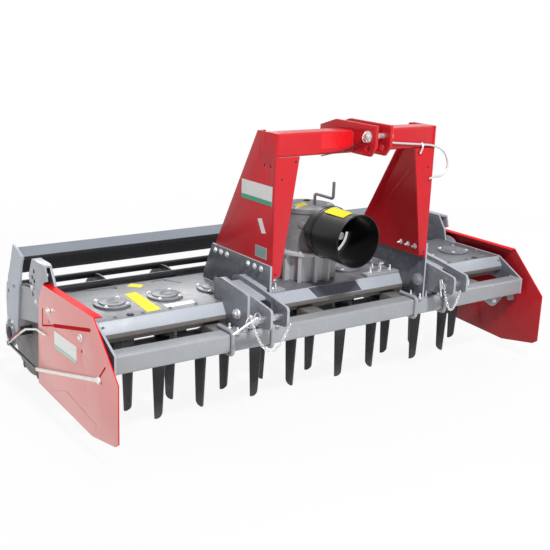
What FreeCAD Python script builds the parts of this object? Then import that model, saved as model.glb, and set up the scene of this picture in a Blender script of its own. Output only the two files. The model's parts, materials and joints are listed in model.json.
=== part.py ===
"""Power harrow, three-point mounted, with a cage roller.

X runs across the machine, Y towards the rear, Z up. Lengths are millimetres and heights
are measured from the floor that the tines and the roller stand on. While it is modelled
Y counts from the front face of the front beam; the finished pieces are moved so that the
origin lies under the middle of the machine.
"""

import FreeCAD, Part
import math
import os

V = FreeCAD.Vector

# ---- Driving dimensions ----

# Rotors and tines
ROTOR_COUNT = 9
ROTOR_PITCH = 250.0
ROTOR_Y = 352.0
ROTOR_PHASE = 29.0            # tine line of rotors 1, 3, 5 ..., degrees from +X
COUNTER_PHASE = 49.0          # tine line of rotors 2, 4, 6 ...
TINE_RADIUS = 112.0           # middle of the blade, from the rotor axis
TINE_THICKNESS = 15.0
TINE_WIDTH = 62.0
TINE_TIP_WIDTH = 34.0
TINE_TIP_RISE = 30.0          # how far the trailing corner is cut away
CARRIER_HEIGHT = 30.0
CARRIER_Z = 325.0
CARRIER_WIDTH = 66.0
HUB_RADIUS = 46.0
STUB_RADIUS = 25.0
RUNNING_FIT = 0.05
MOVING_GAP = 5.0

# Front beam
BEAM_SIZE = 80.0
BEAM_WALL = 6.0
BEAM_ROUND = 10.0
BEAM_BOTTOM = 357.0

# Gear trough
END_X = 1162.0                # outer face of the end plates
END_T = 12.0
LID_TOP = 525.0
LID_T = 8.0
LID_FRONT = 165.0
LID_REAR = 600.0
LID_SLOPE_DROP = 48.0
LID_SLOPE_RUN = 30.0
LID_LIP = 20.0
TRAY_WALL = 8.0
TRAY_HALF_DEPTH = 180.0
TRAY_BOTTOM = 427.0
COVER_RADIUS = 78.0
COVER_HEIGHT = 26.0
HOUSING_RADIUS = 52.0
HOUSING_NECK = 44.0
HOUSING_HEIGHT = 50.0
WEB_WIDTH = 85.0
WEB_PITCH = 500.0
WEB_FIRST = -625.0
WEB_COUNT = 4
WEB_HEIGHT = 50.0

END_SKIRT = 20.0              # how far the end plates reach below the trough

# U-clamps round the beam
CLAMP_X = (-628.0, -427.0, 404.0, 597.0)
CLAMP_ROD = 9.0
CLAMP_TAIL = 24.0

# Side plates
SIDE_X = 1201.0               # outer face
SIDE_T = 6.0
SIDE_FLANGE = 32.0
SIDE_TOP = 572.0
SIDE_TOP_FRONT = 100.0
SIDE_TOP_REAR = 609.0
SHOULDER_Y, SHOULDER_Z = 660.0, 488.0
HEEL_Y, HEEL_Z = 685.0, 98.0
SOLE_Y, SOLE_Z = 125.0, 65.0
TOE_Y, TOE_Z = -82.0, 103.0
SIDE_FRONT = -110.0
NOSE_LOW, NOSE_TOP = 123.0, 365.0
SIDE_MOUNT_Y, SIDE_MOUNT_Z = 226.0, 451.0
SIDE_MOUNT_RADIUS = 15.0

# Sprung links on the outside of the side plates
LINK_T = 12.0
LINK_ROD = 15.0
LINK_WIRE = 8.0
LINK_FRONT = (45.0, 327.0)
LINK_REAR = (1033.0, 178.0)
LINK_SPRING = [(895.0, 268.0), (804.0, 318.0), (671.0, 358.0), (570.0, 362.0)]
LINK_EYE = 14.0

# Roller frame
PIVOT_Y = 560.0
PIVOT_Z = 470.0
PIVOT_RADIUS = 20.0
ARM_T = 12.0
ARM_HEIGHT = 152.0
ARM_FALL = 0.19               # fall of the arm per unit of length
ARM_REAR = 1000.0
SECTOR_T = 8.0
SECTOR_TOP = 653.0
SECTOR_FRONT_Y, SECTOR_FRONT_Z = 581.0, 590.0
SECTOR_CREST_Y = 745.0
BROW_Y, BROW_Z = 577.0, 582.0
BROW_TOP_Y = 627.0
SECTOR_BACK_Y, SECTOR_BACK_Z = 787.0, 569.0
SECTOR_FOOT_Y, SECTOR_FOOT_Z = 749.0, 464.0
SECTOR_LOW_Y, SECTOR_LOW_Z = 690.0, 438.0
DEPTH_PIN_RADIUS = 12.0
DEPTH_PIN_Y = 735.0
STOP_GAP = 0.3

ROLLER_Y = 1040.0
ROLLER_RADIUS = 240.0
BAR_RADIUS = 17.0
BAR_COUNT = 8
DISC_COUNT = 7
DISC_T = 8.0
ROLLER_TUBE = 40.0
ROLLER_STUB = 22.0
ROLLER_END_GAP = 67.0         # from the end discs to the arms
CROSS_T = 8.0
CROSS_FRONT, CROSS_REAR = 868.0, 954.0
CROSS_TOP = 656.0
CROSS_FALL = 24.0             # how far its top slopes down to the front lip
CROSS_LIP = 15.0
CROSS_LOW = 535.0
END_HEAD = (975.0, 668.0)
END_WAIST = [(892.0, 575.0), (915.0, 466.0), (941.0, 324.0)]
END_FOOT = [(956.0, 222.0), (1020.0, 160.0), (1079.0, 168.0)]
END_BACK = [(1084.0, 298.0), (1086.0, 386.0), (1076.0, 452.0), (1027.0, 547.0)]

# Headstock
MAST_X = 441.0                # outer face of the uprights
SHEET_T = 8.0
MAST_T = 10.0
MAST_FRONT = -8.0
MAST_TOP = 1257.0
MAST_FOOT = 656.0
MAST_TOP_DEPTH = 133.0
MAST_WEB_LOW, MAST_WEB_REAR = 640.0, 480.0
MAST_PLATE_TOP = 707.0
MAST_PLATE_BACK, MAST_PLATE_REAR = 454.0, 528.0
MAST_PLATE_RISE = 30.0
FOOT_REACH = 200.0            # mast feet on the lid, inwards from the mast plates
FOOT_DEPTH, FOOT_T = 45.0, 12.0
FLANGE_TOP_W = 118.0
FLANGE_LOW_W = 42.0
REAR_FLANGE_W = 36.0
CROSS_SIZE = 97.0
CROSS_WALL = 8.0

EAR_X = 33.0                  # inner face of the top-link ears
EAR_T = 14.0
EAR_FRONT, EAR_CHIN = -156.0, -124.0
EAR_RISE = 34.0               # crest above the cross beam
EAR_CREST, EAR_REAR = 114.0, 220.0
EAR_TAIL = 42.0
TOP_PIN_Y = -108.0
TOP_PIN_DROP = 15.0           # pin below the cross beam's top
TOP_HOLE_DROP = 64.0
TOP_PIN_RADIUS = 12.5
PIN_CLEAR = 0.4

# Lower hitch
HITCH_IN = 468.0              # inner face of the inner ear
HITCH_OUT = 561.0             # outer face of the outer ear
DOUBLER_FRONT = -28.0
HITCH_T = 12.0
HITCH_FRONT = -179.0
HITCH_TIP, HITCH_LOW = 578.0, 497.0
HITCH_HEEL = 472.0            # underside where the ears leave the beam
HITCH_ROUND = 18.0
HITCH_MOUTH = -70.0           # plate that closes the gap behind the link's end
HITCH_KNEE_Y, HITCH_KNEE_Z = 9.0, 609.0
HITCH_CREST_Y, HITCH_CREST_Z = 181.0, 630.0
HITCH_BACK_Y, HITCH_BACK_Z = 233.0, 614.0
HITCH_SINK = 22.0             # top plate below the ears' edges
HITCH_WEB_T = 10.0
HITCH_PIN_Y = -115.0
HITCH_PIN_Z = 525.0
HITCH_PIN_RADIUS = 14.0
HITCH_PIN_END = 622.0

# Gearbox and shaft
GEARBOX_RADIUS = 130.0
GEARBOX_SEAM = 667.0
GEARBOX_HEIGHT = 198.0
GEARBOX_LID_T = 20.0
GEARBOX_FLANGE = 160.0
GEARBOX_FLANGE_T = 15.0
BASE_RADIUS = 118.0
BASE_RIB = 150.0
BASE_RIBS = 12
BASE_RIB_T = 16.0
SHAFT_RISE = 103.0            # shaft above the gearbox seam
SHAFT_RADIUS = 17.5
SHAFT_END = 89.0
SHAFT_BOSS = 74.0
BOSS_LENGTH = 60.0
BOSS_FRONT = 10.0             # boss ahead of the housing
GUARD_RADIUS = 120.0
GUARD_WALL = 4.0
GUARD_FRONT = -33.0
GUARD_TAPER = 6.0
HOOK_X, HOOK_Y = 44.0, 350.0
HOOK_ROD = 7.0
HOOK_RISE = 48.0
HOOK_REACH = 137.0
HOOK_TIP = 78.0

# ---- Worked-out places ----
BEAM_TOP = BEAM_BOTTOM + BEAM_SIZE
LID_LOW_Y = LID_FRONT - LID_SLOPE_RUN
LID_SLOPE_Z = LID_TOP - LID_SLOPE_DROP
GEARBOX_FRONT = ROTOR_Y - GEARBOX_RADIUS
SIDE_IN = SIDE_X - SIDE_T
ARM_IN = END_X + MOVING_GAP
ARM_OUT = ARM_IN + ARM_T
SECTOR_IN = ARM_OUT + MOVING_GAP
SECTOR_OUT = SECTOR_IN + SECTOR_T
ROLLER_HALF = ARM_IN - ROLLER_END_GAP
BAR_RING = ROLLER_RADIUS - BAR_RADIUS
ROLLER_Z = BAR_RING * math.cos(math.pi / BAR_COUNT) + BAR_RADIUS    # it rests on two bars
REAR_MOST = ROLLER_Y + BAR_RING * math.cos(math.pi / BAR_COUNT) + BAR_RADIUS
CROSS_BEAM_REAR = MAST_FRONT + CROSS_SIZE
TOP_PIN_Z = MAST_TOP - TOP_PIN_DROP
TOP_HOLE_Z = MAST_TOP - TOP_HOLE_DROP
GEARBOX_TOP = GEARBOX_SEAM + GEARBOX_HEIGHT
SHAFT_Z = GEARBOX_SEAM + SHAFT_RISE
GUARD_REAR = GEARBOX_FRONT - BOSS_FRONT
ORIGIN_Y = (HITCH_FRONT + REAR_MOST) / 2


# ---- Shape helpers ----

def box(x, y, z):
    """A box between two values on each axis."""
    (x0, x1), (y0, y1), (z0, z1) = sorted(x), sorted(y), sorted(z)
    return Part.makeBox(x1 - x0, y1 - y0, z1 - z0, V(x0, y0, z0))


def rod(start, direction, radius, length):
    return Part.makeCylinder(radius, length, start, direction)


def plate_yz(outline, x0, x1):
    """A flat plate of a (y, z) outline between two x values."""
    points = [V(min(x0, x1), y, z) for y, z in outline]
    face = Part.Face(Part.makePolygon(points + points[:1]))
    return face.extrude(V(abs(x1 - x0), 0, 0))


def plate_xz(outline, y0, y1):
    points = [V(x, min(y0, y1), z) for x, z in outline]
    face = Part.Face(Part.makePolygon(points + points[:1]))
    return face.extrude(V(0, abs(y1 - y0), 0))


def folded_strip(line, thickness, x0, x1):
    """Sheet folded along a (y, z) line, its other face offset to the line's left."""
    other = []
    for i, (y, z) in enumerate(line):
        before = line[max(i - 1, 0)], line[max(i, 1)]
        after = line[min(i, len(line) - 2)], line[min(i + 1, len(line) - 1)]
        normals = []
        for (ya, za), (yb, zb) in (before, after):
            run = math.hypot(yb - ya, zb - za)
            normals.append((-(zb - za) / run, (yb - ya) / run))
        (n1y, n1z), (n2y, n2z) = normals
        scale = thickness / (1 + n1y * n2y + n1z * n2z)
        other.append((y + (n1y + n2y) * scale, z + (n1z + n2z) * scale))
    return plate_yz(line + other[::-1], x0, x1)


def bent_rod(points, radius, bend):
    """A round rod along a path, each corner rounded off over a length of bend."""
    edges, last = [], points[0]
    for before, corner, after in zip(points, points[1:], points[2:]):
        d1 = (corner - before).normalize()
        d2 = (after - corner).normalize()
        half = d1.getAngle(d2) / 2
        depth = bend / math.tan(half) * (1 / math.cos(half) - 1)
        start, end = corner - d1 * bend, corner + d2 * bend
        middle = corner + (d2 - d1).normalize() * depth
        edges += [Part.makeLine(last, start), Part.Arc(start, middle, end).toShape()]
        last = end
    edges.append(Part.makeLine(last, points[-1]))
    first = (points[1] - points[0]).normalize()
    ring = Part.Wire(Part.makeCircle(radius, points[0], first))
    return Part.Wire(edges).makePipeShell([ring], True, True)


def mirrored(shape):
    return shape.mirror(V(0, 0, 0), V(1, 0, 0))


def pair(build):
    """The right-hand piece and its mirror on the left."""
    right = build()
    return mirrored(right), right


# ---- Front beam and gear trough ----

def front_beam():
    half = END_X - END_T
    outer = box((-half, half), (0, BEAM_SIZE), (BEAM_BOTTOM, BEAM_TOP))
    edges = [e for e in outer.Edges if abs(e.Vertexes[0].X - e.Vertexes[1].X) > half]
    outer = outer.makeFillet(BEAM_ROUND, edges)
    inner = box((-half, half), (BEAM_WALL, BEAM_SIZE - BEAM_WALL),
                (BEAM_BOTTOM + BEAM_WALL, BEAM_TOP - BEAM_WALL))
    return outer.cut(inner)


def gear_trough():
    half = END_X - END_T
    y0 = ROTOR_Y - TRAY_HALF_DEPTH
    y1 = ROTOR_Y + TRAY_HALF_DEPTH
    top = LID_TOP - LID_T
    outer = box((-half, half), (y0, y1), (TRAY_BOTTOM, top))
    inner = box((-half, half), (y0 + TRAY_WALL, y1 - TRAY_WALL), (TRAY_BOTTOM + TRAY_WALL, top))
    return outer.cut(inner)


def lid_line():
    return [(LID_LOW_Y, LID_SLOPE_Z - LID_LIP), (LID_LOW_Y, LID_SLOPE_Z), (LID_FRONT, LID_TOP),
            (LID_REAR, LID_TOP), (LID_REAR, LID_SLOPE_Z)]


def trough_lid():
    half = END_X - END_T
    line = lid_line()[::-1]
    return folded_strip(line, LID_T, -half, half)


def rotor_places():
    middle = (ROTOR_COUNT - 1) / 2
    return [(i - middle) * ROTOR_PITCH for i in range(ROTOR_COUNT)]


def bearing_covers():
    covers = []
    for x in rotor_places():
        if abs(x) < ROTOR_PITCH / 2:
            continue
        rim = rod(V(x, ROTOR_Y, LID_TOP), V(0, 0, 1), COVER_RADIUS, COVER_HEIGHT * 0.6)
        cap = rod(V(x, ROTOR_Y, LID_TOP), V(0, 0, 1), COVER_RADIUS * 0.72, COVER_HEIGHT)
        covers.append(rim.fuse(cap).removeSplitter())
    return Part.makeCompound(covers)


def bearing_housings():
    housings = []
    for x in rotor_places():
        cone = Part.makeCone(HOUSING_NECK, HOUSING_RADIUS, HOUSING_HEIGHT,
                             V(x, ROTOR_Y, TRAY_BOTTOM - HOUSING_HEIGHT))
        bore = rod(V(x, ROTOR_Y, TRAY_BOTTOM - HOUSING_HEIGHT), V(0, 0, 1),
                   STUB_RADIUS + RUNNING_FIT, HOUSING_HEIGHT)
        housings.append(cone.cut(bore))
    return Part.makeCompound(housings)


def beam_webs():
    webs = []
    for i in range(WEB_COUNT):
        x = WEB_FIRST + i * WEB_PITCH
        web = box((x - WEB_WIDTH / 2, x + WEB_WIDTH / 2), (BEAM_SIZE, ROTOR_Y - TRAY_HALF_DEPTH),
                  (BEAM_TOP - WEB_HEIGHT, BEAM_TOP))
        webs.append(web)
    return Part.makeCompound(webs)


def beam_clamps():
    """U-bolts round the front of the beam, one each side of each hitch bracket."""
    front, rear = -CLAMP_ROD - STOP_GAP, BEAM_SIZE + CLAMP_TAIL
    top, low = BEAM_TOP + CLAMP_ROD + STOP_GAP, BEAM_BOTTOM - CLAMP_ROD - STOP_GAP
    clamps = []
    for x in CLAMP_X:
        path = [V(x, rear, top), V(x, front, top), V(x, front, low), V(x, rear, low)]
        clamps.append(bent_rod(path, CLAMP_ROD, CLAMP_ROD * 2))
    return Part.makeCompound(clamps)


def end_plate():
    skirt = TRAY_BOTTOM - END_SKIRT
    outline = [(0, BEAM_BOTTOM), (BEAM_SIZE, BEAM_BOTTOM), (ROTOR_Y - TRAY_HALF_DEPTH, skirt),
               (PIVOT_Y, skirt), (SECTOR_LOW_Y, SECTOR_LOW_Z), (SECTOR_FOOT_Y, SECTOR_FOOT_Z),
               (SECTOR_BACK_Y, SECTOR_BACK_Z), (SECTOR_CREST_Y, SECTOR_TOP), (BROW_TOP_Y, SECTOR_TOP),
               (BROW_Y, BROW_Z), (PIVOT_Y, LID_TOP), (LID_FRONT, LID_TOP), (0, BEAM_TOP)]
    plate = plate_yz(outline, END_X - END_T, END_X)
    return plate.cut(depth_pin(DEPTH_PIN_RADIUS + PIN_CLEAR))


# ---- Side plates ----

def side_plate():
    outline = [(SIDE_TOP_FRONT, SIDE_TOP), (SIDE_FRONT, NOSE_TOP), (SIDE_FRONT, NOSE_LOW), (TOE_Y, TOE_Z),
               (SOLE_Y, SOLE_Z), (HEEL_Y, HEEL_Z), (SHOULDER_Y, SHOULDER_Z), (SIDE_TOP_REAR, SIDE_TOP)]
    web = plate_yz(outline, SIDE_IN, SIDE_X)
    flange = box((SIDE_IN - SIDE_FLANGE, SIDE_IN), (SIDE_TOP_FRONT, SIDE_TOP_REAR),
                 (SIDE_TOP - SIDE_T, SIDE_TOP))
    return web.fuse(flange).removeSplitter()


def side_mounts():
    """Front stud that carries each side plate on its end plate."""
    right = rod(V(END_X, SIDE_MOUNT_Y, SIDE_MOUNT_Z), V(1, 0, 0), SIDE_MOUNT_RADIUS, SIDE_IN - END_X)
    return Part.makeCompound([mirrored(right), right])


def side_links():
    """Rod and bowed spring that hold each side plate down, meeting at one eye behind it."""
    span = (SIDE_X, SIDE_X + LINK_T)
    (front_y, front_z), (rear_y, rear_z) = LINK_FRONT, LINK_REAR
    low = (HEEL_Y, rear_z - LINK_ROD * 1.5)
    rod_part = folded_strip([LINK_FRONT, low], LINK_ROD, *span)
    wire = folded_strip([low, (rear_y, rear_z - LINK_WIRE / 2)], LINK_WIRE, *span)
    spring = folded_strip([LINK_REAR] + LINK_SPRING, LINK_WIRE, *span)
    caps = [rod(V(SIDE_X, y, z), V(1, 0, 0), LINK_EYE, LINK_T)
            for y, z in (LINK_REAR, (front_y, front_z + LINK_ROD / 2))]
    right = rod_part.fuse([wire, spring] + caps).removeSplitter()
    return Part.makeCompound([mirrored(right), right])


# ---- Roller frame ----

def arm_middle(y):
    return PIVOT_Z - (y - PIVOT_Y) * ARM_FALL


def depth_pin_height():
    edge = arm_middle(DEPTH_PIN_Y) + ARM_HEIGHT / 2 * math.hypot(1, ARM_FALL)
    return edge + (DEPTH_PIN_RADIUS + STOP_GAP) * math.hypot(1, ARM_FALL)


def depth_pin(radius):
    length = SECTOR_OUT - (END_X - END_T) + 16
    start = V(END_X - END_T - 8, DEPTH_PIN_Y, depth_pin_height())
    return rod(start, V(1, 0, 0), radius, length)


def depth_pins():
    right = depth_pin(DEPTH_PIN_RADIUS)
    return Part.makeCompound([mirrored(right), right])


def depth_sector():
    """Channel behind the end plate, open to the front, that the roller arm swings in."""
    outline = [(SECTOR_FRONT_Y, SECTOR_FRONT_Z), (LID_REAR, SECTOR_TOP), (SECTOR_CREST_Y, SECTOR_TOP),
               (SECTOR_BACK_Y, SECTOR_BACK_Z), (SECTOR_FOOT_Y, SECTOR_FOOT_Z), (SECTOR_LOW_Y, SECTOR_LOW_Z),
               (SIDE_TOP_REAR + MOVING_GAP, SIDE_TOP + MOVING_GAP)]
    outer = plate_yz(outline, SECTOR_IN, SECTOR_OUT)
    bridge = folded_strip(outline[3:0:-1], SECTOR_T, END_X, SECTOR_IN)
    bridge = bridge.common(plate_yz(outline, END_X, SECTOR_IN))
    return outer.fuse(bridge).removeSplitter().cut(depth_pin(DEPTH_PIN_RADIUS + PIN_CLEAR))


def pivot_pins():
    right = rod(V(END_X, PIVOT_Y, PIVOT_Z), V(1, 0, 0), PIVOT_RADIUS, SIDE_IN - END_X)
    return Part.makeCompound([mirrored(right), right])


def roller_arm():
    half = ARM_HEIGHT / 2 * math.hypot(1, ARM_FALL)
    ends = [PIVOT_Y, ARM_REAR]
    top = [(y, arm_middle(y) + half) for y in ends]
    low = [(y, arm_middle(y) - half) for y in reversed(ends)]
    arm = plate_yz(top + low, ARM_IN, ARM_OUT)
    eye = rod(V(ARM_IN, PIVOT_Y, PIVOT_Z), V(1, 0, 0), ARM_HEIGHT / 2, ARM_T)
    hole = rod(V(ARM_IN, PIVOT_Y, PIVOT_Z), V(1, 0, 0), PIVOT_RADIUS + STOP_GAP, ARM_T)
    return arm.fuse(eye).removeSplitter().cut(hole)


def roller_end():
    """End plate of the roller frame, lapped on the arm's outer face."""
    outline = [END_HEAD, (CROSS_FRONT, CROSS_TOP - CROSS_FALL)] + END_WAIST + END_FOOT + END_BACK
    plate = plate_yz(outline, ARM_OUT, ARM_OUT + ARM_T)
    bore = rod(V(ARM_OUT, ROLLER_Y, ROLLER_Z), V(1, 0, 0), ROLLER_STUB + RUNNING_FIT, ARM_T)
    return plate.cut(bore)


def cross_member():
    """Channel open to the front, its top sloping down to a small lip."""
    front_top = CROSS_TOP - CROSS_FALL
    line = [(CROSS_REAR, CROSS_LOW), (CROSS_REAR, CROSS_TOP), (CROSS_FRONT, front_top),
            (CROSS_FRONT, front_top - CROSS_LIP)]
    return folded_strip(line, CROSS_T, -ARM_OUT, ARM_OUT)


def bar_places():
    for i in range(BAR_COUNT):
        angle = 2 * math.pi / BAR_COUNT * (i + 0.5)
        yield ROLLER_Y + BAR_RING * math.cos(angle), ROLLER_Z + BAR_RING * math.sin(angle)


def roller_bars():
    bars = [rod(V(-ROLLER_HALF, y, z), V(1, 0, 0), BAR_RADIUS, 2 * ROLLER_HALF) for y, z in bar_places()]
    return Part.makeCompound(bars)


def roller_discs():
    step = (2 * ROLLER_HALF - DISC_T) / (DISC_COUNT - 1)
    discs = []
    for i in range(DISC_COUNT):
        x = -ROLLER_HALF + i * step
        disc = rod(V(x, ROLLER_Y, ROLLER_Z), V(1, 0, 0), BAR_RING, DISC_T)
        disc = disc.cut(rod(V(x, ROLLER_Y, ROLLER_Z), V(1, 0, 0), ROLLER_TUBE, DISC_T))
        for y, z in bar_places():
            disc = disc.cut(rod(V(x, y, z), V(1, 0, 0), BAR_RADIUS, DISC_T))
        discs.append(disc)
    return Part.makeCompound(discs)


def roller_shaft():
    reach = ARM_OUT + ARM_T
    tube = rod(V(-ROLLER_HALF, ROLLER_Y, ROLLER_Z), V(1, 0, 0), ROLLER_TUBE, 2 * ROLLER_HALF)
    stub = rod(V(-reach, ROLLER_Y, ROLLER_Z), V(1, 0, 0), ROLLER_STUB, 2 * reach)
    return tube.fuse(stub).removeSplitter()


# ---- Rotors ----

def tine():
    """A flat blade tapering down, wide side across the radius, its trailing corner cut in an arc."""
    top = CARRIER_Z + CARRIER_HEIGHT
    half, tip = TINE_WIDTH / 2, TINE_TIP_WIDTH / 2
    point, trailing = V(tip, 0, 0), V(-tip, 0, TINE_TIP_RISE)
    foot = Part.Arc(trailing, V(-tip / 3, 0, TINE_TIP_RISE / 4), point).toShape()
    corners = [point, V(half, 0, CARRIER_Z), V(half, 0, top), V(-half, 0, top), trailing]
    sides = [Part.makeLine(a, b) for a, b in zip(corners, corners[1:])]
    blade = Part.Face(Part.Wire([foot] + sides)).extrude(V(0, TINE_THICKNESS, 0))
    blade.translate(V(0, TINE_RADIUS - TINE_THICKNESS / 2, 0))
    return blade


def rotor(index, x):
    """Stub shaft, hub, carrier and two tines in one piece; every other rotor is handed and set across."""
    reach = TINE_RADIUS - TINE_THICKNESS / 2
    hub_top = TRAY_BOTTOM - HOUSING_HEIGHT - MOVING_GAP
    carrier = box((-CARRIER_WIDTH / 2, CARRIER_WIDTH / 2), (-reach, reach),
                  (CARRIER_Z, CARRIER_Z + CARRIER_HEIGHT))
    hub = rod(V(0, 0, CARRIER_Z), V(0, 0, 1), HUB_RADIUS, hub_top - CARRIER_Z)
    stub = rod(V(0, 0, hub_top), V(0, 0, 1), STUB_RADIUS, TRAY_BOTTOM - hub_top - STOP_GAP)
    blade = tine()
    opposite = blade.copy()
    opposite.rotate(V(0, 0, 0), V(0, 0, 1), 180)
    body = carrier.fuse([hub, stub, blade, opposite]).removeSplitter()
    phase = COUNTER_PHASE
    if index % 2 == 0:
        body = mirrored(body)
        phase = ROTOR_PHASE
    body.rotate(V(0, 0, 0), V(0, 0, 1), phase - 90)
    body.translate(V(x, ROTOR_Y, 0))
    return body


# ---- Headstock ----

def upright():
    """Tapered upright: a web, a front flange that narrows downwards and a rear flange."""
    web_line = [(MAST_FRONT, MAST_WEB_LOW), (MAST_FRONT, MAST_TOP), (MAST_TOP_DEPTH, MAST_TOP),
                (MAST_WEB_REAR, MAST_WEB_LOW)]
    web = plate_yz(web_line, MAST_X - SHEET_T, MAST_X)
    top = MAST_TOP - CROSS_SIZE
    front = plate_xz([(MAST_X - SHEET_T, MAST_FOOT), (MAST_X - FLANGE_LOW_W, MAST_FOOT),
                      (MAST_X - FLANGE_TOP_W, top), (MAST_X - SHEET_T, top)],
                     MAST_FRONT, MAST_FRONT + SHEET_T)
    slope = (MAST_WEB_REAR - MAST_TOP_DEPTH) / (MAST_TOP - MAST_WEB_LOW)
    inset = SHEET_T * math.hypot(1, slope)
    rear = plate_yz([(MAST_TOP_DEPTH, MAST_TOP), (MAST_WEB_REAR, MAST_WEB_LOW),
                     (MAST_WEB_REAR - inset, MAST_WEB_LOW), (MAST_TOP_DEPTH - inset, MAST_TOP)],
                    MAST_X - REAR_FLANGE_W, MAST_X - SHEET_T)
    return web.fuse([front, rear]).removeSplitter()


def headstock_cross_beam():
    half = MAST_X - SHEET_T
    y1 = MAST_FRONT + CROSS_SIZE
    z0 = MAST_TOP - CROSS_SIZE
    outer = box((-half, half), (MAST_FRONT, y1), (z0, MAST_TOP))
    edges = [e for e in outer.Edges if abs(e.Vertexes[0].X - e.Vertexes[1].X) > half]
    outer = outer.makeFillet(CROSS_WALL * 1.5, edges)
    inner = box((-half, half), (MAST_FRONT + CROSS_WALL, y1 - CROSS_WALL),
                (z0 + CROSS_WALL, MAST_TOP - CROSS_WALL))
    return outer.cut(inner)


def top_link_ears():
    """Two ears saddled over the cross beam, each with a pin hole and a free hole below it."""
    under = MAST_TOP - CROSS_SIZE
    outline = [(EAR_FRONT, MAST_TOP + EAR_RISE), (EAR_CREST, MAST_TOP + EAR_RISE), (EAR_REAR, MAST_TOP),
               (EAR_REAR, MAST_TOP - EAR_TAIL), (CROSS_BEAM_REAR, MAST_TOP - EAR_TAIL),
               (CROSS_BEAM_REAR, MAST_TOP), (MAST_FRONT, MAST_TOP), (MAST_FRONT, under),
               (EAR_CHIN, under), (EAR_FRONT, under + EAR_TAIL)]
    ears = []
    for x in (-EAR_X - EAR_T, EAR_X):
        ear = plate_yz(outline, x, x + EAR_T)
        for z in (TOP_PIN_Z, TOP_HOLE_Z):
            ear = ear.cut(rod(V(x, TOP_PIN_Y, z), V(1, 0, 0), TOP_PIN_RADIUS + PIN_CLEAR, EAR_T))
        ears.append(ear)
    return Part.makeCompound(ears)


def top_link_pin():
    reach = EAR_X + EAR_T + 20
    pin = rod(V(-reach, TOP_PIN_Y, TOP_PIN_Z), V(1, 0, 0), TOP_PIN_RADIUS, 2 * reach)
    head = rod(V(reach, TOP_PIN_Y, TOP_PIN_Z), V(1, 0, 0), TOP_PIN_RADIUS * 1.5, 8)
    return pin.fuse(head).removeSplitter()


def mast_plate():
    outline = [(MAST_FRONT, BEAM_TOP), (MAST_FRONT, MAST_PLATE_TOP), (MAST_PLATE_BACK, MAST_PLATE_TOP),
               (MAST_PLATE_REAR, LID_TOP + MAST_PLATE_RISE), (MAST_PLATE_REAR, LID_TOP), (LID_FRONT, LID_TOP),
               (LID_LOW_Y, LID_SLOPE_Z), (LID_LOW_Y, BEAM_TOP)]
    plate = plate_yz(outline, MAST_X, MAST_X + MAST_T)
    reach = COVER_RADIUS + MOVING_GAP
    notch = box((MAST_X, MAST_X + MAST_T), (ROTOR_Y - reach, ROTOR_Y + reach),
                (LID_TOP, LID_TOP + COVER_HEIGHT + MOVING_GAP))
    return plate.cut(notch)


def mast_feet():
    """Pads on the lid's front edge inside the mast plates."""
    right = box((MAST_X - FOOT_REACH, MAST_X), (LID_FRONT, LID_FRONT + FOOT_DEPTH), (LID_TOP, LID_TOP + FOOT_T))
    return Part.makeCompound([mirrored(right), right])


def hitch_ear(x):
    outline = [(HITCH_FRONT, HITCH_TIP), (HITCH_KNEE_Y, HITCH_KNEE_Z), (HITCH_CREST_Y, HITCH_CREST_Z),
               (HITCH_BACK_Y, HITCH_BACK_Z), (HITCH_BACK_Y, LID_TOP), (LID_FRONT, LID_TOP),
               (LID_LOW_Y, LID_SLOPE_Z), (LID_LOW_Y, BEAM_TOP), (0, BEAM_TOP), (0, HITCH_HEEL),
               (HITCH_FRONT, HITCH_LOW)]
    ear = plate_yz(outline, x, x + HITCH_T)
    corners = [e for e in ear.Edges if e.BoundBox.YMax < HITCH_FRONT + STOP_GAP
               and e.BoundBox.ZLength < STOP_GAP]
    return ear.makeFillet(HITCH_ROUND, corners)


def hitch_bracket():
    """Two ears over the beam and the lid's slope, a doubler outside, and plates behind the link's gap."""
    hole = rod(V(HITCH_IN, HITCH_PIN_Y, HITCH_PIN_Z), V(1, 0, 0), HITCH_PIN_RADIUS + PIN_CLEAR,
               HITCH_OUT - HITCH_IN)
    parts = [hitch_ear(x).cut(hole) for x in (HITCH_IN, HITCH_OUT - HITCH_T)]
    plate_room = box((HITCH_OUT, HITCH_OUT + HITCH_T), (DOUBLER_FRONT, HITCH_BACK_Y), (BEAM_TOP, HITCH_CREST_Z))
    parts.append(hitch_ear(HITCH_OUT).common(plate_room))
    inside = (HITCH_IN + HITCH_T, HITCH_OUT - HITCH_T)
    crest, knee = (HITCH_CREST_Y, HITCH_CREST_Z), (HITCH_KNEE_Y, HITCH_KNEE_Z)
    fall = (HITCH_KNEE_Z - HITCH_TIP) / (HITCH_KNEE_Y - HITCH_FRONT)
    rise = (HITCH_LOW - HITCH_HEEL) / HITCH_FRONT
    mouth_top = HITCH_TIP + fall * (HITCH_MOUTH - HITCH_FRONT) - HITCH_SINK
    mouth_low = HITCH_HEEL + rise * HITCH_MOUTH
    sunk = [(crest[0], crest[1] - HITCH_SINK), (knee[0], knee[1] - HITCH_SINK), (HITCH_MOUTH, mouth_top),
            (HITCH_MOUTH, mouth_low), (0, HITCH_HEEL)]
    parts.append(folded_strip(sunk, HITCH_WEB_T, *inside))
    parts.append(folded_strip([crest, knee], HITCH_WEB_T, MAST_X + MAST_T, HITCH_IN))
    return parts[0].fuse(parts[1:]).removeSplitter()


def hitch_pins():
    start = V(HITCH_IN - HITCH_T, HITCH_PIN_Y, HITCH_PIN_Z)
    right = rod(start, V(1, 0, 0), HITCH_PIN_RADIUS, HITCH_PIN_END - start.x)
    return Part.makeCompound([mirrored(right), right])


# ---- Gearbox ----

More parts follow.
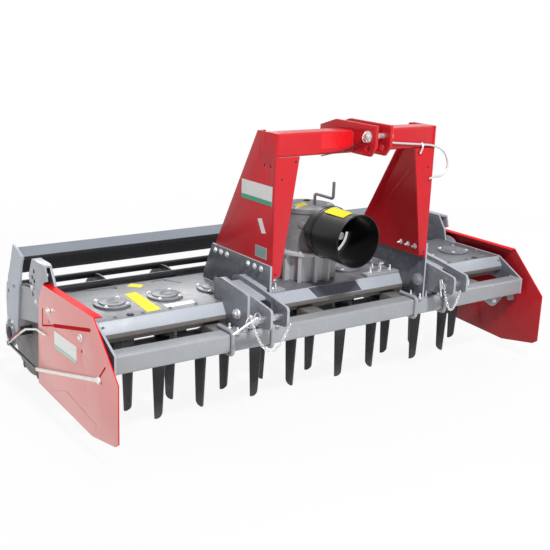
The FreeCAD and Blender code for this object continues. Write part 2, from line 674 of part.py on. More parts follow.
def gearbox_base():
    z0, z1 = LID_TOP, GEARBOX_SEAM - GEARBOX_FLANGE_T
    base = rod(V(0, ROTOR_Y, z0), V(0, 0, 1), BASE_RADIUS, z1 - z0)
    ribs = []
    for i in range(BASE_RIBS):
        rib = box((0, BASE_RIB), (-BASE_RIB_T / 2, BASE_RIB_T / 2), (z0, z1))
        rib.rotate(V(0, 0, 0), V(0, 0, 1), 360 / BASE_RIBS * (i + 0.5))
        rib.translate(V(0, ROTOR_Y, 0))
        ribs.append(rib)
    flange = rod(V(0, ROTOR_Y, z1), V(0, 0, 1), GEARBOX_FLANGE, GEARBOX_FLANGE_T)
    room = rod(V(0, GUARD_FRONT, SHAFT_Z), V(0, 1, 0), GUARD_RADIUS + STOP_GAP, GUARD_REAR - GUARD_FRONT)
    return base.fuse(ribs + [flange]).cut(room).removeSplitter()


def gearbox_housing():
    z1 = GEARBOX_TOP - GEARBOX_LID_T
    start = V(0, GUARD_REAR, SHAFT_Z)
    body = Part.makeCone(GEARBOX_RADIUS, GEARBOX_RADIUS - GUARD_TAPER, z1 - GEARBOX_SEAM,
                         V(0, ROTOR_Y, GEARBOX_SEAM))
    lid = rod(V(0, ROTOR_Y, z1), V(0, 0, 1), GEARBOX_RADIUS, GEARBOX_LID_T)
    boss = rod(start, V(0, 1, 0), SHAFT_BOSS, BOSS_LENGTH)
    bore = rod(start, V(0, 1, 0), SHAFT_RADIUS + RUNNING_FIT, BOSS_LENGTH)
    return body.fuse([lid, boss]).removeSplitter().cut(bore)


def pto_guard():
    """Round guard, open in front, its back wall on the shaft boss."""
    start = V(0, GUARD_FRONT, SHAFT_Z)
    length = GUARD_REAR - GUARD_FRONT
    small = GUARD_RADIUS - GUARD_TAPER
    outer = Part.makeCone(GUARD_RADIUS, small, length, start, V(0, 1, 0))
    inner = Part.makeCone(GUARD_RADIUS - GUARD_WALL, small - GUARD_WALL, length - GUARD_WALL,
                          start, V(0, 1, 0))
    hole = rod(start, V(0, 1, 0), SHAFT_RADIUS + MOVING_GAP, length)
    return outer.cut([inner, hole])


def pto_shaft():
    length = GUARD_REAR + BOSS_LENGTH - MOVING_GAP - SHAFT_END
    return rod(V(0, SHAFT_END, SHAFT_Z), V(0, 1, 0), SHAFT_RADIUS, length)


def shaft_hook():
    """Rest for the drive shaft: a post on the gearbox, a rod forwards and an upturned tip."""
    top = GEARBOX_TOP + HOOK_RISE
    front = HOOK_Y - HOOK_REACH
    path = [V(HOOK_X, HOOK_Y, GEARBOX_TOP), V(HOOK_X, HOOK_Y, top), V(HOOK_X, front, top),
            V(HOOK_X, front, top + HOOK_TIP)]
    return bent_rod(path, HOOK_ROD, HOOK_ROD * 2)


def main():
    nodes = {
        "front_beam": front_beam(),
        "gear_trough": gear_trough(),
        "trough_lid": trough_lid(),
        "bearing_covers": bearing_covers(),
        "bearing_housings": bearing_housings(),
        "beam_webs": beam_webs(),
        "beam_clamps": beam_clamps(),
        "side_mounts": side_mounts(),
        "side_links": side_links(),
        "pivot_pins": pivot_pins(),
        "depth_pins": depth_pins(),
        "roller_cross_member": cross_member(),
        "roller_bars": roller_bars(),
        "roller_discs": roller_discs(),
        "roller_shaft": roller_shaft(),
        "headstock_cross_beam": headstock_cross_beam(),
        "top_link_ears": top_link_ears(),
        "top_link_pin": top_link_pin(),
        "hitch_pins": hitch_pins(),
        "mast_feet": mast_feet(),
        "gearbox_base": gearbox_base(),
        "gearbox_housing": gearbox_housing(),
        "pto_guard": pto_guard(),
        "pto_shaft": pto_shaft(),
        "shaft_hook": shaft_hook(),
    }
    for name, build in (("end_plate", end_plate), ("side_plate", side_plate), ("depth_sector", depth_sector),
                        ("roller_arm", roller_arm), ("roller_end", roller_end), ("upright", upright),
                        ("mast_plate", mast_plate), ("hitch_bracket", hitch_bracket)):
        nodes[name + "_left"], nodes[name + "_right"] = pair(build)
    for index, x in enumerate(rotor_places()):
        nodes["rotor_%d" % (index + 1)] = rotor(index, x)
    os.makedirs("parts", exist_ok=True)
    for name, shape in nodes.items():
        shape.translate(V(0, -ORIGIN_Y, 0))
        shape.exportStep("parts/%s.step" % name)


main()
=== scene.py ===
"""Looks of the power harrow: finishes, fasteners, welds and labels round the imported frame.

Places are given in millimetres as on a workshop drawing: X across the machine, Y from the front
face of the front beam towards the rear, Z from the floor. at() turns them into the frame's metres.
"""

import json
import math

import bmesh
import bpy
from mathutils import Matrix, Quaternion, Vector
from mathutils.bvhtree import BVHTree

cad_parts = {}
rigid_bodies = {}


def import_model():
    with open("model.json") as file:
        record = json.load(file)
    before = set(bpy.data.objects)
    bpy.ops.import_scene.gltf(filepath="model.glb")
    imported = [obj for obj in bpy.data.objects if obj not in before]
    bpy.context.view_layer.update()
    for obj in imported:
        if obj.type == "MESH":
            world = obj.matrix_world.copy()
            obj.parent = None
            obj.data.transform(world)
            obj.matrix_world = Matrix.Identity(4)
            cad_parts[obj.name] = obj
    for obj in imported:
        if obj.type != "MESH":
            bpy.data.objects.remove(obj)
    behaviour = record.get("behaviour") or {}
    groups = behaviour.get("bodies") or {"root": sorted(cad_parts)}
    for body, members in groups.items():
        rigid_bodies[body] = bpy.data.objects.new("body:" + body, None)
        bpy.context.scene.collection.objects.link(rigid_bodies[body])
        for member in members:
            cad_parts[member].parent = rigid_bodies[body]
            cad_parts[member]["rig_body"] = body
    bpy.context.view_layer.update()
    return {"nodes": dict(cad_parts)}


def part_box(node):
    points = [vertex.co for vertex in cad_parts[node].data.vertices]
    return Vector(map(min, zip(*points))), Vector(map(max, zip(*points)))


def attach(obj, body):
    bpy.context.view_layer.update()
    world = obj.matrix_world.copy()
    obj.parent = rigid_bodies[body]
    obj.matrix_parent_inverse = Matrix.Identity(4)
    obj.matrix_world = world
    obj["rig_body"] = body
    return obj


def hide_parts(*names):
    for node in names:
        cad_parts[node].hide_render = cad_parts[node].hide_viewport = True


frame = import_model()
nodes = frame["nodes"]

MM = 0.001
MERGE_WITHIN = 1e-5  # metres
BEAM_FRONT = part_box("front_beam")[0].y  # metres, where the drawing's Y starts
SIDES = ((-1, "left"), (1, "right"))

# Drawing lengths in millimetres.
BEAM_TOP, BEAM_FOOT = 437, 357
LID_TOP = 525
SLOPE_TOP, SLOPE_DEPTH, SLOPE_FALL = 165, 30, 48  # the lid's front slope: Y at its top, run and fall
COVER_FLANGE_TOP = 539  # Z before the covers are flattened
COVER_BOLT_SEAT, COVER_CAP_SEAT = 534, 539  # Z after it
ROTORS = [-1000 + 250 * i for i in range(9)]
ROTOR_LINE = 352  # Y of the rotors' axes
MAST_FACE = 441  # X of the uprights' outer faces
SIDE_FACE = 1201  # X of the side plates' outer faces
PRESSED_FACE = 1200  # X that the plates' pressed lines are built from
CROSS_FACE = -8  # Y of the headstock beam's front face
SHAFT_HEIGHT = 770  # Z of the drive shaft's axis
GUARD_RADIUS = 120
GEARBOX_TOP = 865
DRILL_LENGTH = 60

UPWARD, AHEAD, REARWARD, OUTWARD, INWARD = (0, 0, 1), (0, -1, 0), (0, 1, 0), (1, 0, 0), (-1, 0, 0)


def at(x, y, z):
    """A place on the drawing, in metres in the frame."""
    return Vector((x * MM, BEAM_FRONT + y * MM, z * MM))


def way(x, y, z):
    """A direction of length one."""
    return Vector((x, y, z)).normalized()


def on_drawing(point):
    """A point of the frame in drawing millimetres."""
    return Vector((point.x, point.y - BEAM_FRONT, point.z)) / MM


def standing(place, direction):
    """Moves a shape that stands on Z to a drawing point, along a direction."""
    return Matrix.Translation(at(*place)) @ way(*direction).to_track_quat("Z", "Y").to_matrix().to_4x4()


def linked(name, data):
    """A new object of the data, in the scene."""
    thing = bpy.data.objects.new(name, data)
    bpy.context.scene.collection.objects.link(thing)
    return thing


# ---- Camera and lamps ----

CAMERA_PLACE = (-2670.4, -3127.4, 1749.5)  # drawing millimetres
CAMERA_TURN = math.radians(35.736)  # to the right of straight ahead
CAMERA_DIP = math.radians(15.711)
CAMERA_ROLL = math.radians(2.233)
FOCAL_IN_FRAME_WIDTHS = 1.7353455
FAR = 200.0  # metres


def make_camera():
    data = bpy.data.cameras.new("camera")
    data.lens = FOCAL_IN_FRAME_WIDTHS * data.sensor_width
    data.clip_end = FAR
    camera = linked("camera", data)
    camera.location = at(*CAMERA_PLACE)
    heading = Matrix.Rotation(-CAMERA_TURN, 3, "Z") @ Matrix.Rotation(math.pi / 2 - CAMERA_DIP, 3, "X")
    camera.rotation_euler = (heading @ Matrix.Rotation(CAMERA_ROLL, 3, "Z")).to_euler()
    bpy.context.scene.camera = camera


def lamp(name, place, target, size, watts):
    data = bpy.data.lights.new(name, "AREA")
    data.shape = "RECTANGLE"
    data.size, data.size_y = size
    data.energy = watts
    light = linked(name, data)
    light.location = place
    light.rotation_euler = (Vector(target) - Vector(place)).to_track_quat("-Z", "Y").to_euler()


# ---- Shader maths ----

class Value:
    """A socket of a shader tree that takes Python arithmetic."""

    def __init__(self, shader, socket):
        self.shader, self.socket = shader, socket

    def _maths(self, operation, other):
        return self.shader.add("ShaderNodeMath", {"operation": operation}, {0: self, 1: other})

    def __add__(self, other):
        return self._maths("ADD", other)

    def __sub__(self, other):
        return self._maths("SUBTRACT", other)

    def __mul__(self, other):
        return self._maths("MULTIPLY", other)

    def clipped(self):
        return self.shader.add("ShaderNodeClamp", {}, {0: self})

    def spread(self, low, high):
        """0 where the value is at low, 1 at high."""
        return self.shader.add("ShaderNodeMapRange", {}, {0: self, 1: low, 2: high})


class Shader:
    """The node tree of a new material, or of a world."""

    def __init__(self, name, world=None):
        self.owner = world or bpy.data.materials.new(name)
        self.owner.use_nodes = True
        self.tree = self.owner.node_tree
        self.tree.nodes.clear()
        self.out = self.tree.nodes.new("ShaderNodeOutputWorld" if world else "ShaderNodeOutputMaterial")

    def add(self, kind, settings=None, inputs=None, output=0):
        """A node by its type, its settings, and the values or links of its sockets."""
        node = self.tree.nodes.new(kind)
        for key, value in (settings or {}).items():
            setattr(node, key, value)
        for key, value in (inputs or {}).items():
            if isinstance(value, Value):
                self.tree.links.new(value.socket, node.inputs[key])
            else:
                slot = node.inputs[key]
                slot.default_value = (*value, 1) if slot.type == "RGBA" and len(value) == 3 else value
        return Value(self, node.outputs[output])

    def where(self):
        return self.add("ShaderNodeTexCoord", output="Object")

    def seen(self):
        """1 for rays from the camera, straight, mirrored or through glass, else 0."""
        camera, glossy, through = (self.add("ShaderNodeLightPath", output=ray) for ray in
                                   ("Is Camera Ray", "Is Glossy Ray", "Is Transmission Ray"))
        return (camera + glossy + through).clipped()

    def shown_as(self, surface):
        self.tree.links.new(surface.socket, self.out.inputs["Surface"])
        return self.owner

    def axis(self, which):
        return self.add("ShaderNodeSeparateXYZ", {}, {0: self.where()}, which)

    def noise(self, scale, detail, roughness):
        inputs = {"Vector": self.where(), "Scale": scale, "Detail": detail, "Roughness": roughness}
        return self.add("ShaderNodeTexNoise", {}, inputs)

    def blend(self, factor, first, second):
        """A colour between first and second."""
        return self.add("ShaderNodeMix", {"data_type": "RGBA"}, {0: factor, 6: first, 7: second}, 2)

    def bump(self, height, strength, distance):
        inputs = {"Strength": strength, "Distance": distance, "Height": height}
        return self.add("ShaderNodeBump", {}, inputs)

    def finish(self, **sockets):
        """The material with the sockets given, such as base_color, coat_weight or specular_ior_level."""
        names = {key.replace("_", " ").title().replace("Ior", "IOR"): value
                 for key, value in sockets.items()}
        return self.shown_as(self.add("ShaderNodeBsdfPrincipled", {}, names))


def gloss_paint(name, colour, dusty, roughness=0.3, dust=0.12, coat=0.12, specular=0.22):
    """Sprayed enamel: faint orange peel, mottled gloss and a film of dust."""
    s = Shader(name)
    film = s.noise(3.2, 4, 0.6).spread(0.38, 0.72) * dust
    specks = s.noise(140, 2, 0.7).spread(0.62, 0.72) * (dust * 0.6)
    shade = s.blend((film + specks).clipped(), colour, dusty)
    gloss = s.noise(22, 3, 0.6) * 0.14 + (roughness - 0.07)
    relief = s.bump(s.noise(420, 1, 0.4) * 0.25 + s.noise(7, 2, 0.5), 0.12, 0.0012)
    return s.finish(base_color=shade, roughness=gloss + film * 0.3, coat_weight=coat,
                    coat_roughness=0.1, specular_ior_level=specular, normal=relief)


def satin_steel(name, colour, worn, roughness=0.42, specular=0.35, scuffs=0.22, cloudy=0.3):
    """Grey enamel on sheet: cloudy tone, fine specks and scuffed spots."""
    s = Shader(name)
    cloud = s.noise(4.5, 5, 0.62).spread(0.3, 0.7)
    scuff = s.noise(38, 5, 0.72).spread(0.56, 0.66) * scuffs
    shade = s.blend(cloud * cloudy, colour, tuple(c * 0.66 for c in colour))
    shade = s.blend(scuff, shade, worn)
    gloss = s.noise(30, 3, 0.6) * 0.16 + cloud * 0.12 + (roughness - 0.14)
    relief = s.bump(s.noise(300, 2, 0.5) * 0.5 + s.noise(6, 2, 0.5) * 2.0, 0.14, 0.0012)
    return s.finish(base_color=shade, roughness=gloss, specular_ior_level=specular, normal=relief)


def cast_metal(name, colour, light, depth=0.0016, roughness=0.5):
    """Sand-cast skin: pitted, with lighter rubbed high spots."""
    s = Shader(name)
    pits = s.noise(95, 4, 0.65)
    lumps = s.noise(24, 3, 0.6)
    high = (pits * 0.5 + lumps * 0.5).spread(0.5, 0.66) * 0.4
    shade = s.blend(high, colour, light)
    relief = s.bump(pits * 0.7 + lumps, 0.35, depth)
    return s.finish(base_color=shade, roughness=s.noise(40, 2, 0.5) * 0.25 + (roughness - 0.12),
                    specular_ior_level=0.35, normal=relief)


def forged_tine(name, colour, worn):
    """Black forging, scoured paler towards the tip."""
    s = Shader(name)
    pits = s.noise(80, 4, 0.65)
    lumps = s.noise(20, 3, 0.6)
    scoured = (s.axis(2) * -11.0 + 1.0 + (lumps - 0.5) * 1.2).clipped() * 0.75
    shade = s.blend((pits.spread(0.5, 0.68) * 0.3 + scoured).clipped(), colour, worn)
    return s.finish(base_color=shade, roughness=s.noise(40, 2, 0.5) * 0.2 + 0.32,
                    specular_ior_level=0.4, normal=s.bump(pits * 0.6 + lumps, 0.3, 0.0012))


def plated(name, colour, roughness=0.3, stain=(0.45, 0.43, 0.38), metallic=0.85):
    """Bright metal with dull patches."""
    s = Shader(name)
    dull = s.noise(60, 3, 0.6).spread(0.45, 0.75)
    shade = s.blend(dull * 0.45, colour, stain)
    return s.finish(base_color=shade, metallic=metallic, roughness=dull * 0.25 + roughness,
                    normal=s.bump(s.noise(500, 2, 0.5), 0.08, 0.0006))


def plain_film(name, colour, roughness=0.35, faded=None, glow=0.0):
    """Printed vinyl or an anodised plate, left blank, a little faded in patches."""
    s = Shader(name)
    fade = s.noise(35, 3, 0.6).spread(0.35, 0.75) * 0.16
    shade = s.blend(fade, colour, faded or tuple(c * 0.7 for c in colour))
    # A glow above zero makes the film shine by itself, which is painted light.
    return s.finish(base_color=shade, roughness=s.noise(80, 2, 0.5) * 0.15 + roughness,
                    emission_color=shade, emission_strength=glow,
                    normal=s.bump(s.noise(120, 2, 0.5), 0.06, 0.0006))


BLACK_ENAMEL = (0.020, 0.021, 0.027)

# What each finish is called here, and its material.
FINISH = {
    "red": gloss_paint("red_enamel", (0.56, 0.011, 0.019), (0.52, 0.09, 0.10)),
    # Side plates: the pink of the outward faces is painted glare, the brighter red of the top flanges is
    # painted light, and the darker red of the inner faces is painted shade.
    "painted_glare": gloss_paint("side_plate_painted_glare_enamel", (0.74, 0.29, 0.275), (0.74, 0.40, 0.38),
                         dust=0.5, coat=0.3),
    "flange": gloss_paint("side_plate_painted_light_flange_enamel", (0.84, 0.008, 0.014), (0.8, 0.03, 0.04),
                          roughness=0.45, dust=0.04, coat=0.0, specular=0.05),
    "painted_shade_inside": gloss_paint("side_plate_painted_shade_enamel", (0.40, 0.009, 0.016), (0.36, 0.06, 0.07), dust=0.18),
    # The dull dark red of the crease stripes is painted shade.
    "crease_shade": gloss_paint("side_plate_crease_enamel", (0.48, 0.006, 0.013), (0.4, 0.02, 0.03),
                          roughness=0.6, dust=0.02, coat=0.0, specular=0.03),
    "grey": satin_steel("light_grey_enamel", (0.36, 0.375, 0.40), (0.55, 0.56, 0.58)),
    "matt": satin_steel("matt_grey_enamel", (0.27, 0.30, 0.345), (0.4, 0.42, 0.45), 0.7, 0.05, 0.1, 0.2),
    "pale": satin_steel("pale_grey_enamel", (0.43, 0.465, 0.52), (0.58, 0.60, 0.64), 0.36),
    "lid": satin_steel("trough_lid_enamel", (0.15, 0.157, 0.178), (0.34, 0.35, 0.37), 0.38, scuffs=0.35),
    "dark": satin_steel("dark_grey_enamel", (0.12, 0.13, 0.155), (0.30, 0.31, 0.34), 0.28, 0.5, 0.4, 0.9),
    # Navy of the guard's shadow and reflection on the lid's slope: painted shadow.
    "guard_shadow": satin_steel("painted_guard_shadow_enamel", (0.062, 0.065, 0.10), (0.2, 0.2, 0.24), 0.3, 0.4, 0.3),
    "sector": satin_steel("sector_grey_enamel", (0.38, 0.385, 0.42), (0.56, 0.57, 0.59),
                          0.34, 0.4, 0.4, 0.5),
    # Paler than the dark plates, partly a painted reflection on the ears' faces.
    "hitch": satin_steel("hitch_grey_enamel", (0.24, 0.255, 0.29), (0.42, 0.43, 0.46),
                         0.28, 0.5, 0.4, 0.9),
    "cast": cast_metal("cast_housing", (0.22, 0.235, 0.25), (0.38, 0.39, 0.41)),
    "base": cast_metal("gearbox_base_casting", (0.52, 0.53, 0.56), (0.68, 0.69, 0.71), 0.001, 0.42),
    "bearing": cast_metal("bearing_housing", (0.17, 0.163, 0.155), (0.28, 0.27, 0.25)),
    "tine": forged_tine("forged_tine", BLACK_ENAMEL, (0.085, 0.085, 0.095)),
    "roller": satin_steel("roller_black_enamel", BLACK_ENAMEL, (0.07, 0.07, 0.08), 0.4, 0.3),
    "zinc": plated("zinc_plate", (0.74, 0.75, 0.77)),
    "galvanised": plated("galvanised_rod", (0.84, 0.83, 0.79), 0.42, (0.6, 0.58, 0.52), 0.25),
    "bare": plated("machined_steel", (0.5, 0.5, 0.51), 0.22),
    "guard": gloss_paint("guard_plastic", (0.008, 0.0085, 0.0085), (0.05, 0.05, 0.045),
                         coat=0.05, specular=0.3),
    "rubber": satin_steel("black_rubber", (0.02, 0.02, 0.021), (0.05, 0.05, 0.05), 0.6),
    "sleeve": satin_steel("maroon_sleeve", (0.22, 0.035, 0.045), (0.4, 0.15, 0.16), 0.5),
    "yellow": plain_film("yellow_film", (0.93, 0.81, 0.0), 0.6, (0.85, 0.66, 0.0)),
    "white": plain_film("white_film", (0.80, 0.81, 0.80)),
    # A white strip that glows: painted light inside the guard.
    "glowing_strip": plain_film("glowing_white_film", (0.84, 0.84, 0.83), 0.5, None, 0.6),
    "green": plain_film("green_film", (0.04, 0.34, 0.20)),
    "pale_green": plain_film("faded_green_film", (0.42, 0.62, 0.52)),
    "tag": plain_film("data_tag", (0.22, 0.35, 0.32), 0.25),
    "patch": plain_film("red_film", (0.72, 0.008, 0.014), 0.2, (0.6, 0.02, 0.02)),
}
SLOTS = {
    "red_paint": ("red", "painted_glare", "flange", "painted_shade_inside", "crease_shade", "patch", "sleeve"),
    "cast_grey": ("cast", "base", "bearing"),
    "black_steel": ("tine",),
    "roller_black": ("roller",),
    "zinc": ("zinc", "galvanised"),
    "bare_steel": ("bare",),
    "guard_plastic": ("guard", "rubber"),
}


def slot_of(finish):
    """The record's material for a finish, grey paint unless listed."""
    return next((slot for slot, names in SLOTS.items() if finish in names), "grey_paint")


# ---- Pieces ----

def piece(name, mesh, finish, body="frame", replaced=(), rule=None):
    """An object of the mesh; rule(centre, normal) may name another finish for a face."""
    thing = linked(name, mesh)
    mesh.materials.clear()
    order = [finish]
    chosen = []
    for face in mesh.polygons:
        other = rule(on_drawing(face.center), face.normal) if rule else None
        if other and other not in order:
            order.append(other)
        chosen.append(order.index(other or finish))
    for key in order:
        mesh.materials.append(FINISH[key])
    for face, index in zip(mesh.polygons, chosen):
        face.material_index = index
    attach(thing, body)
    slot_of(finish)
    if replaced:
        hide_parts(*replaced)


def poured(bm, name, smooth=None):
    """The plain mesh of bm, smooth except where faces meet at more than so many degrees."""
    mesh = bpy.data.meshes.new(name)
    bm.to_mesh(mesh)
    bm.free()
    if smooth:
        mesh.shade_smooth()
        mesh.set_sharp_from_angle(angle=math.radians(smooth))
    return mesh


def mesh_of(build, name, smooth=38, broken=0):
    """A mesh filled by build(bm); broken is the width of its chamfers in millimetres."""
    bm = bmesh.new()
    build(bm)
    bmesh.ops.recalc_face_normals(bm, faces=bm.faces)
    if broken:
        sharp = [e for e in bm.edges if e.calc_face_angle(0) > math.radians(25)]
        bmesh.ops.bevel(bm, geom=sharp, offset=broken * MM, segments=2, profile=0.5, affect="EDGES")
    return poured(bm, name, smooth)


def made(name, build, finish, body="frame", smooth=38, broken=0):
    """A piece straight from build(bm)."""
    piece(name, mesh_of(build, name, smooth, broken), finish, body)


def taken(thing, *others):
    """The plain mesh of a thing with its modifiers; the thing and its helpers are thrown away."""
    graph = bpy.context.evaluated_depsgraph_get()
    mesh = bpy.data.meshes.new_from_object(thing.evaluated_get(graph))
    for used in (thing, *others):
        bpy.data.objects.remove(used)
    return mesh


def drilled(mesh, holes, rooms=()):
    """Cuts holes (x, y, z, radius, height) along X, and rooms, boxes by two corners."""
    def cutters(bm):
        for low, high in rooms:
            size = [abs(b - a) * MM for a, b in zip(low, high)]
            middle = at(*((a + b) / 2 for a, b in zip(low, high)))
            bmesh.ops.create_cube(bm, matrix=Matrix.Translation(middle) @ Matrix.Diagonal((*size, 1)))
        for x, y, z, radius, height in holes:
            turn = Matrix.Translation(at(x, y, z)) @ Matrix.Diagonal((1, 1, height / 2 / radius, 1))
            turn = turn @ Matrix.Rotation(math.pi / 2, 4, "Y")
            bmesh.ops.create_cone(bm, cap_ends=True, segments=20, radius1=radius * MM,
                                  radius2=radius * MM, depth=DRILL_LENGTH * MM, matrix=turn)
    sheet, cutter = linked("sheet", mesh), linked("cutter", mesh_of(cutters, "cutter"))
    boolean = sheet.modifiers.new("holes", "BOOLEAN")
    boolean.operation, boolean.solver, boolean.object = "DIFFERENCE", "EXACT", cutter
    return taken(sheet, cutter)


def merged(node):
    """A copy of a CAD node's mesh with its loose triangles joined."""
    bm = bmesh.new()
    bm.from_mesh(nodes[node].data)
    bmesh.ops.remove_doubles(bm, verts=bm.verts, dist=MERGE_WITHIN)
    return poured(bm, node)


def softened(node, finish, width, rule=None, holes=(), segments=2, shape=None, rooms=()):
    """The CAD node with its sheet edges broken and any holes cut, in its place."""
    mesh = merged(node)
    for vertex in mesh.vertices if shape else ():
        vertex.co.z = shape(vertex.co.z / MM) * MM
    if holes or rooms:
        mesh = drilled(mesh, holes, rooms)
    bm = bmesh.new()
    bm.from_mesh(mesh)
    bmesh.ops.dissolve_limit(bm, angle_limit=math.radians(0.6), verts=bm.verts, edges=bm.edges)
    sharp = [e for e in bm.edges if len(e.link_faces) == 2 and e.calc_face_angle(0) > math.radians(32)]
    bmesh.ops.bevel(bm, geom=sharp, offset=width * MM, segments=segments, profile=0.5,
                    affect="EDGES", clamp_overlap=True)
    bmesh.ops.triangulate(bm, faces=[f for f in bm.faces if len(f.verts) > 4])
    name = node + "_dressed"
    piece(name, poured(bm, name, 30), finish, nodes[node]["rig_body"], (node,), rule)


def repaint(node, finish):
    """A CAD node as it is, in a finish."""
    mesh = nodes[node].data
    mesh.materials.clear()
    mesh.materials.append(FINISH[finish])


def side_rule(centre, normal):
    """The outward face is pink, a painted glare; the flange on top is a brighter red, painted light; and
    the inner face is a darker red, painted shade.
    """
    if abs(normal.x) > 0.9:
        return "painted_glare" if normal.x * centre.x > 0 and abs(centre.x) > 1199 else "painted_shade_inside"
    return "flange" if normal.z > 0.5 and centre.z > 400 else None


def lid_rule(centre, normal):
    """The lid's front slope is pale, a painted highlight for the light it reflects, and its skirt below
    the slope is brownish grey, painted shade.
    """
    if centre.y < 170 and normal.z > 0.3 and normal.y < -0.3:
        return "pale"
    return "bearing" if centre.y < 170 and centre.z < 480 else None


def cross_rule(centre, normal):
    """The roller frame's beam is matt on top, and black along its front's foot, painted shade under its
    top flange.
    """
    if normal.z > 0.6:
        return "matt"
    return "roller" if normal.y < -0.9 and centre.z < 636 else None


def sheet_rule(centre, normal):
    """Plates are dark on their flanks, and their cut edges are pale, a painted highlight."""
    return None if abs(normal.x) > 0.9 or 482 < abs(centre.x) < 547 else "pale"


def edge_rule(centre, normal):
    """The hitch brackets' cut edges are pale, a painted highlight."""
    return None if abs(normal.x) > 0.9 else "pale"


def disc_rule(centre, normal):
    """The outer faces of the black end discs are dull grey, painted light where the lamps catch them."""
    return "bearing" if abs(centre.x) > 1090 and abs(normal.x) > 0.8 else None


def sector_holes():
    """Two staggered arcs round the arm's pivot, for the pin that sets the depth."""
    places = []
    for radius, step in ((184, -1), (184, 1), (210, 0), (210, 1), (210, 2)):
        angle = math.radians(17.9 + 10.5 * step)
        places.append((1188, 560 + radius * math.cos(angle), 470 + radius * math.sin(angle), 10.5, 21))
    return places


# Holes of the right-hand plates: a point, the radius and the height.
SIDE_HOLES = [(1198, 211, 399, 6, 14), (1198, 545, 424, 5, 12)]
END_HOLES = [(1173, 1062, 478, 9, 18), (1173, 979, 468, 9, 18), (1173, 1050, 428, 9, 18)]
UPRIGHT_HOLES = [(437, 30, 1120, 6, 12), (437, 75, 1120, 6, 12)]


def links_rule(centre, normal):
    """The thin wire behind the front rod is dark."""
    return "dark" if centre.y > 700 and centre.z < 186 else None


def cover_rule(centre, normal):
    """The covers' rims are lighter than their tops, painted light on their shaded sides."""
    return "hitch" if abs(normal.z) < 0.4 else None


def flattened(height):
    """The covers are thin, and their bosses rise little above their flanges."""
    flange, boss = min(height, COVER_FLANGE_TOP) - LID_TOP, max(0, height - COVER_FLANGE_TOP)
    return LID_TOP + flange * 0.6 + boss * 0.5


def dress_frame():
    """Every CAD node in its finish; sheet and cast parts also get broken edges."""
    for side, word in SIDES:
        for node, finish, width, rule, holes in (
                ("side_plate_", "red", 1.0, side_rule, SIDE_HOLES),
                ("depth_sector_", "sector", 1.2, None, sector_holes()),
                ("roller_end_", "pale", 1.2, None, END_HOLES),
                ("upright_", "red", 1.6, None, UPRIGHT_HOLES), ("roller_arm_", "grey", 1.2, None, ()),
                ("end_plate_", "dark", 1.5, sheet_rule, ()),
                ("mast_plate_", "dark", 1.5, sheet_rule, ())):
            softened(node + word, finish, width, rule, [(side * x, *rest) for x, *rest in holes])
        mouth = ((side * 480.5, -78, 440), (side * 548.5, -22, 640))
        softened("hitch_bracket_" + word, "hitch", 1.5, edge_rule, rooms=(mouth,))
    for node, finish, width, rule in (
            ("headstock_cross_beam", "red", 1.0, None), ("top_link_ears", "red", 2.2, None),
            ("side_links", "galvanised", 2.0, links_rule), ("front_beam", "grey", 1.0, None),
            ("trough_lid", "lid", 2.0, lid_rule), ("gear_trough", "bearing", 1.5, None),
            ("beam_webs", "bearing", 1.5, None), ("roller_cross_member", "grey", 1.2, cross_rule),
            ("gearbox_base", "base", 2.5, None), ("mast_feet", "grey", 1.5, None)):
        softened(node, finish, width, rule)
    softened("bearing_covers", "lid", 2.0, cover_rule, segments=3, shape=flattened)
    softened("roller_discs", "roller", 0.8, disc_rule)
    for i in range(len(ROTORS)):
        softened("rotor_%d" % (i + 1), "tine", 1.8)
    for finish, names in (
            ("cast", ("gearbox_housing",)), ("bearing", ("bearing_housings",)),
            ("roller", ("roller_bars", "roller_shaft")),
            ("zinc", ("top_link_pin", "hitch_pins", "depth_pins", "pivot_pins", "side_mounts")),
            ("grey", ("beam_clamps", "shaft_hook")), ("guard", ("pto_guard",)), ("bare", ("pto_shaft",))):
        for node in names:
            repaint(node, finish)


# ---- Repeated pieces ----

def array_tree():
    """One copy of an item at each point, turned and sized by the point's attributes."""
    tree = bpy.data.node_groups.new("copies", "GeometryNodeTree")
    for name, kind in (("Geometry", "Geometry"), ("Item", "Object")):
        tree.interface.new_socket(name, in_out="INPUT", socket_type="NodeSocket" + kind)
    tree.interface.new_socket("Geometry", in_out="OUTPUT", socket_type="NodeSocketGeometry")
    add, link = tree.nodes.new, tree.links.new
    begin, end = add("NodeGroupInput"), add("NodeGroupOutput")
    item, put = add("GeometryNodeObjectInfo"), add("GeometryNodeInstanceOnPoints")
    turn, size = add("GeometryNodeInputNamedAttribute"), add("GeometryNodeInputNamedAttribute")
    turn.data_type, size.data_type = "FLOAT_VECTOR", "FLOAT"
    turn.inputs["Name"].default_value, size.inputs["Name"].default_value = "turn", "size"
    real = add("GeometryNodeRealizeInstances")
    link(begin.outputs["Item"], item.inputs["Object"])
    link(begin.outputs["Geometry"], put.inputs["Points"])
    link(item.outputs["Geometry"], put.inputs["Instance"])
    link(turn.outputs["Attribute"], put.inputs["Rotation"])
    link(size.outputs["Attribute"], put.inputs["Scale"])
    link(put.outputs[0], real.inputs[0])
    link(real.outputs[0], end.inputs[0])
    return tree


COPIES = array_tree()


